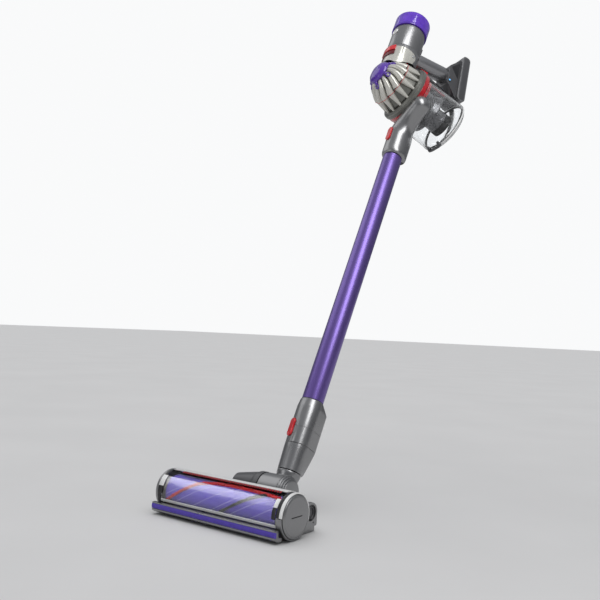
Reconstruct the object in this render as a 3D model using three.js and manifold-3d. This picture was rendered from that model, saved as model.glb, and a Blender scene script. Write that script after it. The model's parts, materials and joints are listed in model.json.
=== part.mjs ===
// Cordless stick vacuum with a direct-drive brush head, in millimetres, +Z up.
// The origin is the centre of the sole plate's rear pad, on the floor.
// +X runs along the brush bar to its round end cap, and +Y runs to the rear.
// The stick leans back and is turned a little on its own axis, as in use.

import * as THREE from 'three';
import { mergeVertices } from 'three/addons/utils/BufferGeometryUtils.js';
import Module from 'manifold-3d';

const wasm = await Module();
wasm.setup();

const RAD = Math.PI / 180;

// ---------------------------------------------------------------------------
// Driving dimensions
// ---------------------------------------------------------------------------

const GAP = 0.35;            // running gap between neighbouring pieces

const LEAN = 27.3 * RAD;     // the wand leans back from upright
const TWIST = 25.5 * RAD;    // the handle is turned towards +X
const PIVOT = { y: 73, z: 32, drumRadius: 27 };
const WAND_OFFSET = 18;      // the wand axis passes behind the pitch pivot

const HEAD = { halfWidth: 125, brushY: -40, brushZ: 33, shellRadius: 31.5, wall: 2 };
const BRUSH = { radius: 24, bore: 16, halfLength: 107, bristleTip: 28, motorRadius: 12.6 };
const END_CAP = { radius: 30.2, from: 117, to: 125 };
const RAIL = { front: -77, back: -66, bottom: 9, top: 19 };
const SOLE = { thickness: 8, padBack: 22, padFront: -16, halfWidth: 111.8 };
const WHEEL = { radius: 13.4, y: 6, from: 84, to: 94 };

const NECK = { from: 38.3, to: 82.7, spigotTop: 128, spigotRadius: 17.2, bore: 13.5 };
const COLLAR = { from: 83, chamfer: 149, to: 162.5, radius: 22, ridgeRadius: 11, ridgeY: 23 };
const TUBE = { radius: 19, bore: 17.2, from: 136, to: 692.5 };
const SPIGOT = { radius: 16.9, bore: 14.4, from: 670, to: 738 };
const BUTTON = { width: 10, height: 32, depth: 4.3, stand: 2.6 };

const MOUTH = 692.8;         // the handheld starts here along the wand
const DUCT = { radius: 24, ridgeRadius: 12, ridgeY: 17, bore: 17.4, top: 104 };
const MOTOR = { y: -53.6, radius: 35.1, from: 236.3, to: 293.2, wall: 2.2 };
const COLLAR_SKIRT = { from: 186, to: 236, wall: 4 };
const CAP = { radius: 37.5, from: 293.6, to: 331, wall: 2 };
const LEVER = { inner: 35.5, outer: 38.6, from: 207, to: 236, halfAngle: 34 * RAD };

const BIN_AXIS = { y: -14.6, z: 155, tilt: -94 * RAD };
const BIN = { radius: 57, wall: 2, from: 10.4, to: 106 };
const CYCLONE = { ringRadius: 59.5, ringDepth: 12, fins: 15, finDepth: 0.085, bore: 18.5 };
const SHROUD = { radius: 38, wall: 3, to: 62, skirt: 44 };
const DUST_TUBE = { radius: 24, wall: 3, to: 105.6 };
const KNOB = { radius: 26, base: -72.6, top: -88 };
const HINGE = { y: 61, z: 107, pinRadius: 1.6 };
const RAIL_BIN = { halfWidth: 10, bottom: -57.5, top: -71, from: 10.6, to: 86 };

const HANDLE = { y: -9, z: 250, tilt: -76 * RAD, radius: 17, wall: 2.8 };
const TRIGGER = { halfWidth: 6, from: 2, to: 20, top: 12, bottom: 24 };
const BATTERY = { y: 92, z: 270, tilt: -83 * RAD, halfLength: 58, halfThick: 10.5, halfWidth: 26 };
const WEDGE = { halfWidth: 21, front: -38, back: -10.9 };

// ---------------------------------------------------------------------------
// Materials
// ---------------------------------------------------------------------------

function plastic(color, roughness = 0.45, metalness = 0) {
  return new THREE.MeshStandardMaterial({ color, roughness, metalness });
}

const NICKEL_GREY = plastic(0x8c8d8f, 0.32, 0.55);
const DARK_GREY = plastic(0x55565a, 0.4, 0.3);
const WARM_GREY = plastic(0xb9b6ac, 0.35, 0.15);
const RING_GREY = plastic(0x7b7b74, 0.4, 0.3);
const PURPLE_CLEAR = plastic(0x5a35c8, 0.15);
const PURPLE_METAL = plastic(0x5b3f98, 0.3, 0.8);
const PURPLE_FABRIC = plastic(0x4a38a0, 0.95);
const RED = plastic(0xc8202a, 0.35);
const DARK_RED = plastic(0x7a1420, 0.4);
const BLACK = plastic(0x1b1b1d, 0.55);
const CLEAR = plastic(0xdfe6ea, 0.05);
const STEEL = plastic(0xb8bbbf, 0.3, 1);
const COPPER = plastic(0xa8633a, 0.45, 0.9);
const FELT_WHITE = plastic(0xd9d6cc, 0.95);
const GREEN_BOARD = plastic(0x1f5a3a, 0.6);
const BLUE_LIGHT = plastic(0x5aa8ff, 0.2);

// ---------------------------------------------------------------------------
// Shape helpers: every helper returns a closed BufferGeometry
// ---------------------------------------------------------------------------

function toSolid(geometry) {
  const plain = geometry.clone();
  plain.deleteAttribute('normal');
  plain.deleteAttribute('uv');
  const merged = mergeVertices(plain, 1e-4);
  const index = merged.index.array;
  const kept = [];
  for (let i = 0; i < index.length; i += 3) {
    const [a, b, c] = [index[i], index[i + 1], index[i + 2]];
    if (a !== b && b !== c && c !== a) {
      kept.push(a, b, c);
    }
  }
  const vertProperties = new Float32Array(merged.attributes.position.array);
  const triVerts = new Uint32Array(kept);
  return new wasm.Manifold(new wasm.Mesh({ numProp: 3, vertProperties, triVerts }));
}

function toGeometry(solid) {
  const mesh = solid.getMesh();
  const geometry = new THREE.BufferGeometry();
  geometry.setAttribute('position', new THREE.BufferAttribute(mesh.vertProperties, 3));
  geometry.setIndex(new THREE.BufferAttribute(mesh.triVerts, 1));
  geometry.computeVertexNormals();
  return geometry;
}

function join(first, ...others) {
  return toGeometry(others.reduce((sum, item) => sum.add(toSolid(item)), toSolid(first)));
}

function cut(first, ...tools) {
  return toGeometry(tools.reduce((rest, tool) => rest.subtract(toSolid(tool)), toSolid(first)));
}

function overlap(first, second) {
  return toGeometry(toSolid(first).intersect(toSolid(second)));
}

function block(x0, x1, y0, y1, z0, z1) {
  const geometry = new THREE.BoxGeometry(x1 - x0, y1 - y0, z1 - z0);
  return geometry.translate((x0 + x1) / 2, (y0 + y1) / 2, (z0 + z1) / 2);
}

// A turned piece about Z: [radius, z] points counter-clockwise, from axis to axis.
function turned(points, sides = 24) {
  const profile = points.map(([r, z]) => new THREE.Vector2(r, z));
  return new THREE.LatheGeometry(profile, sides).rotateX(Math.PI / 2);
}

function rod(radius, z0, z1, sides = 24) {
  return turned([[0, z0], [radius, z0], [radius, z1], [0, z1]], sides);
}

function ring(inner, outer, z0, z1, sides = 24) {
  return turned([[inner, z0], [outer, z0], [outer, z1], [inner, z1], [inner, z0]], sides);
}

// Turns a piece made about Z so that it is about X, with Z becoming X.
function alongX(geometry) {
  return geometry.applyMatrix4(new THREE.Matrix4().makeBasis(
    new THREE.Vector3(0, 1, 0), new THREE.Vector3(0, 0, 1), new THREE.Vector3(1, 0, 0)));
}

// A flat outline in the Y-Z plane, given as [y, z] points, carried from x0 to x1.
function plateAlongX(points, x0, x1) {
  const shape = new THREE.Shape(points.map(([y, z]) => new THREE.Vector2(y, z)));
  const geometry = new THREE.ExtrudeGeometry(shape, { depth: x1 - x0, bevelEnabled: false });
  return alongX(geometry.translate(0, 0, x0));
}

// A sector of a tube about Z, between two angles measured from +X towards +Y.
function sector(inner, outer, z0, z1, start, end, steps = 12) {
  const points = [];
  for (let i = 0; i <= steps; i++) {
    const angle = start + (end - start) * i / steps;
    points.push(new THREE.Vector2(outer * Math.cos(angle), outer * Math.sin(angle)));
  }
  for (let i = steps; i >= 0; i--) {
    const angle = start + (end - start) * i / steps;
    points.push(new THREE.Vector2(inner * Math.cos(angle), inner * Math.sin(angle)));
  }
  const options = { depth: z1 - z0, bevelEnabled: false };
  return new THREE.ExtrudeGeometry(new THREE.Shape(points), options).translate(0, 0, z0);
}

// The outline around a front circle and a smaller rear circle that carries the wires.
function ridgedOutline(radius, ridgeRadius, ridgeY, sides = 24) {
  const points = [];
  for (let i = 0; i < sides; i++) {
    const angle = -2 * Math.PI * i / sides;
    const [nx, ny] = [Math.sin(angle), Math.cos(angle)];
    const onRidge = ny * ridgeY + ridgeRadius > radius;
    const reach = onRidge ? ridgeRadius : radius;
    points.push([nx * reach, ny * reach + (onRidge ? ridgeY : 0)]);
  }
  return points;
}

// A solid through a stack of outlines, [z, points], from the lowest to the highest.
function loft(stack) {
  const sides = stack[0][1].length;
  const positions = [];
  const index = [];
  for (const [z, points] of stack) {
    for (const [x, y] of points) {
      positions.push(x, y, z);
    }
  }
  for (let level = 0; level + 1 < stack.length; level++) {
    for (let i = 0; i < sides; i++) {
      const next = (i + 1) % sides;
      const [a, b] = [level * sides + i, level * sides + next];
      index.push(a, b, b + sides, a, b + sides, a + sides);
    }
  }
  const last = (stack.length - 1) * sides;
  for (let i = 1; i + 1 < sides; i++) {
    index.push(0, i + 1, i, last, last + i, last + i + 1);
  }
  const geometry = new THREE.BufferGeometry();
  geometry.setAttribute('position', new THREE.Float32BufferAttribute(positions, 3));
  geometry.setIndex(index);
  return geometry;
}

// A rounded block: a rectangle with round corners in X-Y, carried from z0 to z1.
function roundedPlate(halfX, halfY, radius, z0, z1, curveSegments = 5) {
  const shape = new THREE.Shape();
  shape.moveTo(halfX, -halfY + radius);
  shape.absarc(halfX - radius, halfY - radius, radius, 0, Math.PI / 2, false);
  shape.absarc(-halfX + radius, halfY - radius, radius, Math.PI / 2, Math.PI, false);
  shape.absarc(-halfX + radius, -halfY + radius, radius, Math.PI, 1.5 * Math.PI, false);
  shape.absarc(halfX - radius, -halfY + radius, radius, 1.5 * Math.PI, 2 * Math.PI, false);
  const options = { depth: z1 - z0, bevelEnabled: false, curveSegments };
  return new THREE.ExtrudeGeometry(shape, options).translate(0, 0, z0);
}

function frameAt(y, z, tilt) {
  return new THREE.Matrix4().makeTranslation(0, y, z).multiply(new THREE.Matrix4().makeRotationX(tilt));
}

function add(parent, name, geometry, material) {
  const mesh = new THREE.Mesh(geometry, material);
  mesh.name = name;
  parent.add(mesh);
  return mesh;
}

// ---------------------------------------------------------------------------
// Groups: head on the floor, then the leaning and turned stick, then the handheld
// ---------------------------------------------------------------------------

const vacuum = new THREE.Group();

const head = new THREE.Group();
vacuum.add(head);

const leaning = new THREE.Group();
leaning.position.set(0, PIVOT.y, PIVOT.z);
leaning.rotation.x = -LEAN;
vacuum.add(leaning);

const stick = new THREE.Group();
stick.position.set(0, WAND_OFFSET, 0);
stick.rotation.z = -TWIST;
leaning.add(stick);

const handheld = new THREE.Group();
handheld.position.set(0, 0, MOUTH);
stick.add(handheld);

const motorFrame = frameAt(MOTOR.y, 0, 0);
const binFrame = frameAt(BIN_AXIS.y, BIN_AXIS.z, BIN_AXIS.tilt);
const handleFrame = frameAt(HANDLE.y, HANDLE.z, HANDLE.tilt);
const batteryFrame = frameAt(BATTERY.y, BATTERY.z, BATTERY.tilt);

// ---------------------------------------------------------------------------
// Brush head
// ---------------------------------------------------------------------------

function aboutBrush(geometry) {
  return alongX(geometry).translate(0, HEAD.brushY, HEAD.brushZ);
}

// An arc wall around the brush: angles run from +Y over the top to the front.
function brushArc(inner, outer, x0, x1, start, end, steps) {
  return aboutBrush(sector(inner, outer, x0, x1, start * RAD, end * RAD, steps));
}

function brushHousing() {
  const shell = brushArc(29.4, 32, -116.6, 111.6, -46, 66, 12);
  const deck = block(-111, 111, -12, 20, 28, 34);
  const backWall = block(-111, 111, 17, 20, 9, 30);
  const channel = block(-30, 24, -12, 45, 10, 44);
  const leftTail = block(-116, -98, -12, 22, 9, 30);
  const rightTail = block(98, 116, -12, 22, 9, 30);
  const leftArch = alongX(rod(15, -116, -98, 20)).translate(0, 7, 29);
  const rightArch = alongX(rod(15, 98, 116, 20)).translate(0, 7, 29);
  const leftRib = block(-82, -79, 2, 20, 9, 30);
  const rightRib = block(79, 82, 2, 20, 9, 30);
  const whole = join(shell, deck, backWall, channel, leftTail, rightTail, leftArch, rightArch,
    leftRib, rightRib);
  const suction = new THREE.CylinderGeometry(12, 12, 64, 20).translate(-3, 16, 27);
  const axleHoles = alongX(rod(2.6, -104, 104, 12)).translate(0, WHEEL.y, WHEEL.radius);
  const wheelRoom = [alongX(rod(WHEEL.radius + 1.2, WHEEL.from - 1.8, WHEEL.to + 2, 20)),
    alongX(rod(WHEEL.radius + 1.2, -WHEEL.to - 2, 1.8 - WHEEL.from, 20))];
  wheelRoom.forEach((room) => room.translate(0, WHEEL.y, WHEEL.radius));
  const brushRoom = aboutBrush(rod(29.4, -116.4, 111.8, 28));
  const endRingRoom = aboutBrush(rod(33.5, 111.8, 130, 28));
  return cut(whole, brushRoom, endRingRoom, suction, axleHoles, ...wheelRoom);
}

function combBar() {
  const bar = brushArc(29.4, 33.2, -116.6, 111.6, 67, 88, 4);
  const teeth = [];
  const toothCount = 14;
  for (let i = 0; i < toothCount; i++) {
    const x = -104 + 208 * i / (toothCount - 1);
    teeth.push(brushArc(28.6, 30, x, x + 2.4, 84, 97, 1));
  }
  return join(bar, ...teeth);
}

function solePlate() {
  const pad = block(-SOLE.halfWidth, SOLE.halfWidth, SOLE.padFront, SOLE.padBack, 0, SOLE.thickness);
  const front = block(-116, 111.8, -76, -63, 3, SOLE.thickness);
  const left = block(-116, -109, -64, -15, 3, SOLE.thickness);
  const right = block(107, 111.8, -64, -15, 3, SOLE.thickness);
  const slots = [-1, 1].map((side) => {
    const slot = block(WHEEL.from - 4, WHEEL.to + 2, -9, 21, -1, SOLE.thickness + 1);
    return side > 0 ? slot : slot.translate(-(WHEEL.from - 4) - (WHEEL.to + 2), 0, 0);
  });
  return cut(join(pad, front, left, right), ...slots);
}

function brushCore() {
  const tube = turned([[0, 104], [9, 104], [9, 100], [BRUSH.bore, 96], [BRUSH.bore, -BRUSH.halfLength],
    [BRUSH.radius, -BRUSH.halfLength], [BRUSH.radius, BRUSH.halfLength], [4, BRUSH.halfLength],
    [4, 115.5], [0, 115.5]], 28);
  return aboutBrush(tube);
}

// A row of bristles that climbs round the brush as it runs along it.
function bristleRow(startAngle, turn) {
  const steps = 26;
  const [inner, outer, halfWidth] = [BRUSH.radius + 0.3, BRUSH.bristleTip, 2.2];
  const stack = [];
  for (let i = 0; i <= steps; i++) {
    const x = -104 + 208 * i / steps;
    const angle = startAngle + turn * Math.abs(x) / 104;
    const [c, s] = [Math.cos(angle), Math.sin(angle)];
    const corners = [[inner, -halfWidth], [outer, -halfWidth], [outer, halfWidth], [inner, halfWidth]];
    stack.push([x, corners.map(([r, w]) => [r * c - w * s, r * s + w * c])]);
  }
  return aboutBrush(loft(stack));
}

function endCap() {
  const disc = turned([[0, END_CAP.from + 1.5], [9.4, END_CAP.from + 1.5], [9.4, 109], [12.4, 109],
    [12.4, END_CAP.from], [END_CAP.radius, END_CAP.from], [END_CAP.radius, END_CAP.to - 1],
    [END_CAP.radius - 1, END_CAP.to], [0, END_CAP.to]], 28);
  const coinSlot = block(END_CAP.to - 1.5, END_CAP.to + 1, -11, 11, -1.3, 1.3)
    .translate(0, HEAD.brushY, HEAD.brushZ);
  return cut(aboutBrush(disc), coinSlot);
}

function wheel() {
  return turned([[0, WHEEL.from - 4.5], [2.2, WHEEL.from - 4.5], [2.2, WHEEL.from], [WHEEL.radius - 1, WHEEL.from],
    [WHEEL.radius, WHEEL.from + 1], [WHEEL.radius, WHEEL.to - 1], [WHEEL.radius - 1, WHEEL.to],
    [2.2, WHEEL.to], [2.2, WHEEL.to + 7], [0, WHEEL.to + 7]], 24);
}

function leftDrum() {
  return alongX(turned([[0, -82], [15, -82], [18, -79], [PIVOT.drumRadius - 2, -34], [PIVOT.drumRadius, -30],
    [PIVOT.drumRadius, -22.3], [0, -22.3]], 28)).translate(0, PIVOT.y, PIVOT.z);
}

function rightDrum() {
  return alongX(turned([[0, 18.9], [PIVOT.drumRadius, 18.9], [PIVOT.drumRadius, 23.6], [PIVOT.drumRadius - 1, 24],
    [PIVOT.drumRadius, 24.4], [PIVOT.drumRadius, 29.5], [PIVOT.drumRadius - 2, 31], [0, 31]], 28))
    .translate(0, PIVOT.y, PIVOT.z);
}

function buildHead() {
  const pivotRoom = alongX(rod(PIVOT.drumRadius + 0.4, -90, 40, 28)).translate(0, PIVOT.y, PIVOT.z);
  add(head, 'brush_housing', cut(brushHousing(), pivotRoom), NICKEL_GREY);
  add(head, 'brush_window', brushArc(29.5, 31.3, -111.6, 111.4, 98.5, 203, 12), CLEAR);
  add(head, 'comb_bar', combBar(), NICKEL_GREY);
  add(head, 'front_rail', join(block(-122, 118, RAIL.front + 2, RAIL.front + 6.4, RAIL.bottom, RAIL.top),
    block(-116.4, 111.6, RAIL.front + 6, RAIL.back, RAIL.bottom, RAIL.top)), NICKEL_GREY);
  add(head, 'front_felt', block(-122, 118, RAIL.front - 1, RAIL.front + 1.6, RAIL.bottom + 0.5, RAIL.top - 0.5),
    PURPLE_FABRIC);
  add(head, 'sole_plate', solePlate(), DARK_GREY);
  add(head, 'end_ring', aboutBrush(ring(END_CAP.radius + 0.5, 32.6, 112.2, 123, 28)), BLACK);
  add(head, 'left_end_cap', aboutBrush(rod(HEAD.shellRadius, -HEAD.halfWidth, -117, 28)), NICKEL_GREY);
  add(head, 'brush_motor', aboutBrush(turned([[0, -116.7], [14, -116.7], [14, -108], [BRUSH.motorRadius, -108],
    [BRUSH.motorRadius, 60], [5, 60], [5, 72], [0, 72]], 24)), STEEL);
  add(head, 'brush_bearing', aboutBrush(ring(4.3, 9.1, 110, 116, 20)), STEEL);
  add(head, 'brush_core', brushCore(), PURPLE_FABRIC);
  add(head, 'bristle_row_red', bristleRow(100 * RAD, 70 * RAD), RED);
  add(head, 'bristle_row_black', bristleRow(280 * RAD, 70 * RAD), BLACK);
  add(head, 'right_end_cap', endCap(), NICKEL_GREY);
  add(head, 'rear_wheel_right', alongX(wheel()).translate(0, WHEEL.y, WHEEL.radius), BLACK);
  add(head, 'rear_wheel_left', alongX(wheel().rotateX(Math.PI)).translate(0, WHEEL.y, WHEEL.radius), BLACK);
  add(head, 'pivot_drum_left', leftDrum(), DARK_GREY);
  add(head, 'pivot_drum_right', rightDrum(), NICKEL_GREY);
}

// ---------------------------------------------------------------------------
// Elbow, neck and wand
// ---------------------------------------------------------------------------

function elbow() {
  const drum = alongX(rod(PIVOT.drumRadius - 0.5, -21.9, 18.5, 32));
  const stub = turned([[0, 0], [17.8, 0], [17.8, 27], [20.3, 30], [20.3, NECK.from - 0.3],
    [0, NECK.from - 0.3]], 28).translate(0, WAND_OFFSET, 0);
  const upperBore = rod(NECK.bore, 6, 60, 24).translate(0, WAND_OFFSET, 0);
  const frontBore = new THREE.CylinderGeometry(10, 10, 44, 20).translate(-1, -6, 2);
  return cut(join(drum, stub), upperBore, frontBore);
}

function neck() {
  const sleeve = loft([
    [NECK.from, ridgedOutline(20.5, 8, 12.4)],
    [NECK.from + 12, ridgedOutline(20.8, 9, 16)],
    [NECK.to, ridgedOutline(COLLAR.radius, COLLAR.ridgeRadius, COLLAR.ridgeY)],
  ]);
  const spigot = rod(NECK.spigotRadius, NECK.from + 10, NECK.spigotTop, 28);
  return cut(join(sleeve, spigot), rod(NECK.bore, 0, 200, 24));
}

// An upright button with round ends, standing proud at the front of a round body.
function frontButton(radius, centre, spare = 0) {
  const half = BUTTON.width / 2 + spare;
  const plate = roundedPlate(half, BUTTON.height / 2 + spare, half - 0.01, 0, BUTTON.depth + 6 * spare);
  return plate.rotateX(Math.PI / 2).translate(0, -radius + BUTTON.depth - BUTTON.stand + 3 * spare, centre);
}

function wandCollar(buttonZ) {
  const outline = ridgedOutline(COLLAR.radius, COLLAR.ridgeRadius, COLLAR.ridgeY);
  const topOutline = ridgedOutline(TUBE.radius + 1.2, 6, 16.2);
  const body = loft([[COLLAR.from, outline], [COLLAR.chamfer, outline], [COLLAR.to, topOutline]]);
  const tubeBore = rod(TUBE.radius + GAP, TUBE.from - 0.4, 200, 28);
  const neckBore = rod(NECK.spigotRadius + GAP, 0, TUBE.from, 28);
  const window = frontButton(COLLAR.radius, buttonZ, 0.4);
  return cut(body, tubeBore, neckBore, window);
}

function buildStick() {
  add(leaning, 'elbow_saddle', elbow(), NICKEL_GREY);
  add(stick, 'neck_sleeve', neck(), NICKEL_GREY);
  const buttonZ = 108;
  add(stick, 'wand_collar', wandCollar(buttonZ), NICKEL_GREY);
  add(stick, 'head_release_button', frontButton(COLLAR.radius, buttonZ), RED);
  add(stick, 'wand_tube', ring(TUBE.bore, TUBE.radius, TUBE.from, TUBE.to, 32), PURPLE_METAL);
  add(stick, 'wand_spigot', ring(SPIGOT.bore, SPIGOT.radius, SPIGOT.from, SPIGOT.to, 28), DARK_GREY);
}

// ---------------------------------------------------------------------------
// Handheld: inlet, cyclones and bin
// ---------------------------------------------------------------------------

// The room that the bin, its rings and the gap around them take, in the bin's frame.
function binRoom() {
  return turned([[0, -13], [CYCLONE.ringRadius + GAP, -13], [CYCLONE.ringRadius + GAP, 10.6],
    [BIN.radius + GAP, 10.6], [BIN.radius + GAP, 130], [0, 130]], 32).applyMatrix4(binFrame);
}

function inletDuct(buttonZ) {
  const outline = ridgedOutline(DUCT.radius, DUCT.ridgeRadius, DUCT.ridgeY);
  const mouthOutline = ridgedOutline(DUCT.radius - 2.5, DUCT.ridgeRadius - 2.5, DUCT.ridgeY);
  const straight = loft([[GAP, mouthOutline], [7, outline], [DUCT.top + 20, outline]]);
  const bend = new THREE.CatmullRomCurve3([new THREE.Vector3(2, 3, 66), new THREE.Vector3(8, 3, 80),
    new THREE.Vector3(24, 1, 96), new THREE.Vector3(44, -1, 112)]);
  const roundEnd = new THREE.SphereGeometry(20, 18, 12).translate(44, -1, 112);
  const circle = new THREE.Shape();
  circle.absarc(0, 0, 20, 0, 2 * Math.PI, false);
  const branch = new THREE.ExtrudeGeometry(circle, { extrudePath: bend, steps: 8, curveSegments: 9 });
  const bore = rod(DUCT.bore, -1, 88, 28);
  const contactPocket = block(-6.4, 6.4, 18.6, 25.4, -1, 16.4);
  const window = frontButton(DUCT.radius, buttonZ, 0.4);
  return cut(join(straight, branch, roundEnd), binRoom(), bore, contactPocket, window);
}

// A dome of cyclone cones: its radius swells at each cone.
function cycloneDome() {
  const profile = [[55.5, -12.4], [56.5, -22], [52, -38], [44, -52], [34, -63], [25, -70]];
  const sides = CYCLONE.fins * 4;
  const stack = profile.map(([radius, z]) => {
    const points = [];
    for (let i = 0; i < sides; i++) {
      const angle = 2 * Math.PI * i / sides;
      const swell = 1 - CYCLONE.finDepth * (1 + Math.cos(CYCLONE.fins * angle)) / 2;
      points.push([radius * swell * Math.cos(angle), radius * swell * Math.sin(angle)]);
    }
    return [z, points];
  });
  return cut(loft(stack.reverse()), rod(CYCLONE.bore, -90, 0, 28));
}

function preFilterKnob() {
  return turned([[0, KNOB.top], [10, KNOB.top + 1], [19, KNOB.top + 5], [KNOB.radius - 2, KNOB.top + 10],
    [KNOB.radius, KNOB.base - 3], [KNOB.radius - 1, KNOB.base], [0, KNOB.base]], 28);
}

function binDoor() {
  const dome = turned([[0, 122.6], [18, 121.6], [35, 118.6], [48, 113.8], [54.9, 109.6], [54.9, 106.4],
    [57, 106.4], [57, 110.2], [50, 116.4], [36, 121.2], [18, 124.2], [0, 125]], 28);
  const ear = block(-12, 12, 55.6, HINGE.y + 3.2, 106.6, 110.4);
  const knuckle = alongX(rod(3.4, -12, 12, 16)).translate(0, HINGE.y, HINGE.z);
  const pinHole = alongX(rod(HINGE.pinRadius + GAP, -20, 20, 12)).translate(0, HINGE.y, HINGE.z);
  const binEnd = ring(50, BIN.radius + 0.6, 90, BIN.to + 0.4, 32);
  return cut(join(dome, ear, knuckle), pinHole, binEnd);
}

function bin() {
  const wall = ring(BIN.radius - BIN.wall, BIN.radius, BIN.from, BIN.to, 32);
  const lugs = [block(12.6, 16.6, 54, HINGE.y + 3, 99, 108.6), block(-16.6, -12.6, 54, HINGE.y + 3, 99, 108.6)];
  const pinHole = alongX(rod(HINGE.pinRadius + GAP, -20, 20, 12)).translate(0, HINGE.y, HINGE.z);
  const inside = rod(BIN.radius - BIN.wall, 0, 120, 32);
  const doorRoom = rod(BIN.radius + 1, BIN.to, 130, 32);
  return cut(join(wall, ...lugs), inside, pinHole, doorRoom);
}

function buildBin() {
  const inBin = (geometry) => geometry.applyMatrix4(binFrame);
  const dome = inBin(cycloneDome());
  add(handheld, 'cyclone_pack', dome, WARM_GREY);
  add(handheld, 'cyclone_ring', inBin(ring(CYCLONE.bore + 4, CYCLONE.ringRadius, -CYCLONE.ringDepth, 0, 32)),
    RING_GREY);
  add(handheld, 'cyclone_red_band', inBin(ring(50, 58, 0.35, 10, 32)), RED);
  add(handheld, 'shroud', inBin(turned([[SHROUD.radius - SHROUD.wall, 0.35], [SHROUD.radius, 0.35],
    [SHROUD.radius, 48], [SHROUD.skirt, SHROUD.to], [SHROUD.skirt - SHROUD.wall, SHROUD.to],
    [SHROUD.radius - SHROUD.wall, 48], [SHROUD.radius - SHROUD.wall, 0.35]], 28)), DARK_GREY);
  add(handheld, 'fine_dust_tube', inBin(ring(DUST_TUBE.radius - DUST_TUBE.wall, DUST_TUBE.radius, 0.35,
    DUST_TUBE.to, 32)), BLACK);
  add(handheld, 'pre_filter_knob', inBin(preFilterKnob()), PURPLE_CLEAR);
  add(handheld, 'pre_filter_sleeve', inBin(ring(9, 17.6, KNOB.base + GAP, -16, 24)), FELT_WHITE);
  add(handheld, 'bin', inBin(bin()), CLEAR);
  const runner = block(-RAIL_BIN.halfWidth, RAIL_BIN.halfWidth, RAIL_BIN.top, RAIL_BIN.bottom, RAIL_BIN.from,
    RAIL_BIN.to);
  const latchHook = block(-6, 6, -64, -58.6, RAIL_BIN.to - 1, 114);
  add(handheld, 'bin_rail', inBin(join(runner, latchHook)), NICKEL_GREY);
  add(handheld, 'release_push_rod', inBin(block(10.4, 12.6, -68, -61, 18, 80)), DARK_RED);
  add(handheld, 'bin_door', inBin(binDoor()), CLEAR);
  add(handheld, 'bin_door_seal', inBin(ring(50, 54.5, 106.7, 109, 28)), BLACK);
  add(handheld, 'bin_door_pin', inBin(alongX(rod(HINGE.pinRadius, -16.5, 16.5, 12)).translate(0, HINGE.y,
    HINGE.z)), STEEL);
}

function buildInlet() {
  const buttonZ = 47;
  add(handheld, 'inlet_duct', inletDuct(buttonZ), NICKEL_GREY);
  add(handheld, 'wand_release_button', frontButton(DUCT.radius, buttonZ), RED);
  add(handheld, 'contact_block', block(-6, 6, 19, 25, 1.5, 16), BLACK);
}

// ---------------------------------------------------------------------------
// Handheld: motor body and its filter
// ---------------------------------------------------------------------------

// The skirt joins the motor body to the cyclones and is cut to fit over them.
function cycloneCollar() {
  const skirt = ring(MOTOR.radius - COLLAR_SKIRT.wall, MOTOR.radius, COLLAR_SKIRT.from, COLLAR_SKIRT.to, 28)
    .applyMatrix4(motorFrame);
  const cycloneRoom = turned([[0, -92], [30, -92], [36, -66], [45.5, -53], [53, -39], [57.6, -22],
    [57.6, -13], [CYCLONE.ringRadius + 0.5, -13], [CYCLONE.ringRadius + 0.5, 40], [0, 40]], 28)
    .applyMatrix4(binFrame);
  const screwHole = alongX(rod(3.3, 25, 45, 16)).translate(0, MOTOR.y + 8, 219);
  return cut(skirt, cycloneRoom, screwHole);
}

function buildMotor() {
  const inMotor = (geometry) => geometry.applyMatrix4(motorFrame);
  add(handheld, 'cyclone_collar', cycloneCollar(), WARM_GREY);
  add(handheld, 'collar_screw', alongX(rod(2.9, 31.6, 35.2, 16)).translate(0, MOTOR.y + 8, 219), STEEL);
  add(handheld, 'motor_body_shell', inMotor(ring(MOTOR.radius - MOTOR.wall, MOTOR.radius, MOTOR.from,
    MOTOR.to, 28)), NICKEL_GREY);
  add(handheld, 'motor_rubber_mount', inMotor(ring(26.4, MOTOR.radius - MOTOR.wall - 0.4, 256, 264, 32)), BLACK);
  add(handheld, 'motor_stator', inMotor(ring(13.5, 26, 246, 280, 32)), COPPER);
  add(handheld, 'motor_rotor', inMotor(turned([[0, 240.4], [3, 240.4], [3, 250], [12.6, 250], [12.6, 276],
    [3, 276], [3, 286], [0, 286]], 24)), STEEL);
  add(handheld, 'impeller', inMotor(turned([[0, 226], [8, 227], [14, 233], [24, 238], [24, 240], [0, 240]], 28)),
    DARK_GREY);
  add(handheld, 'post_filter_cap', inMotor(turned([[0, CAP.to - CAP.wall], [CAP.radius - 4.5, CAP.to - CAP.wall],
    [CAP.radius - CAP.wall, CAP.to - 4.5], [CAP.radius - CAP.wall, CAP.from], [CAP.radius, CAP.from],
    [CAP.radius, CAP.to - 3.5], [CAP.radius - 3.5, CAP.to], [0, CAP.to]], 28)), PURPLE_CLEAR);
  add(handheld, 'post_filter_pleats', inMotor(ring(18, 33.5, CAP.from + 1, CAP.to - 5, 32)), FELT_WHITE);
  add(handheld, 'bin_release_lever', inMotor(sector(LEVER.inner, LEVER.outer, LEVER.from, LEVER.to,
    -Math.PI / 2 - LEVER.halfAngle, -Math.PI / 2 + LEVER.halfAngle, 10)), RED);
  add(handheld, 'mode_slider', block(-5, 5, MOTOR.y + MOTOR.radius + 0.4, MOTOR.y + MOTOR.radius + 4, 270, 283),
    DARK_GREY);
}

// ---------------------------------------------------------------------------
// Handheld: handle, trigger and battery
// ---------------------------------------------------------------------------

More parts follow.
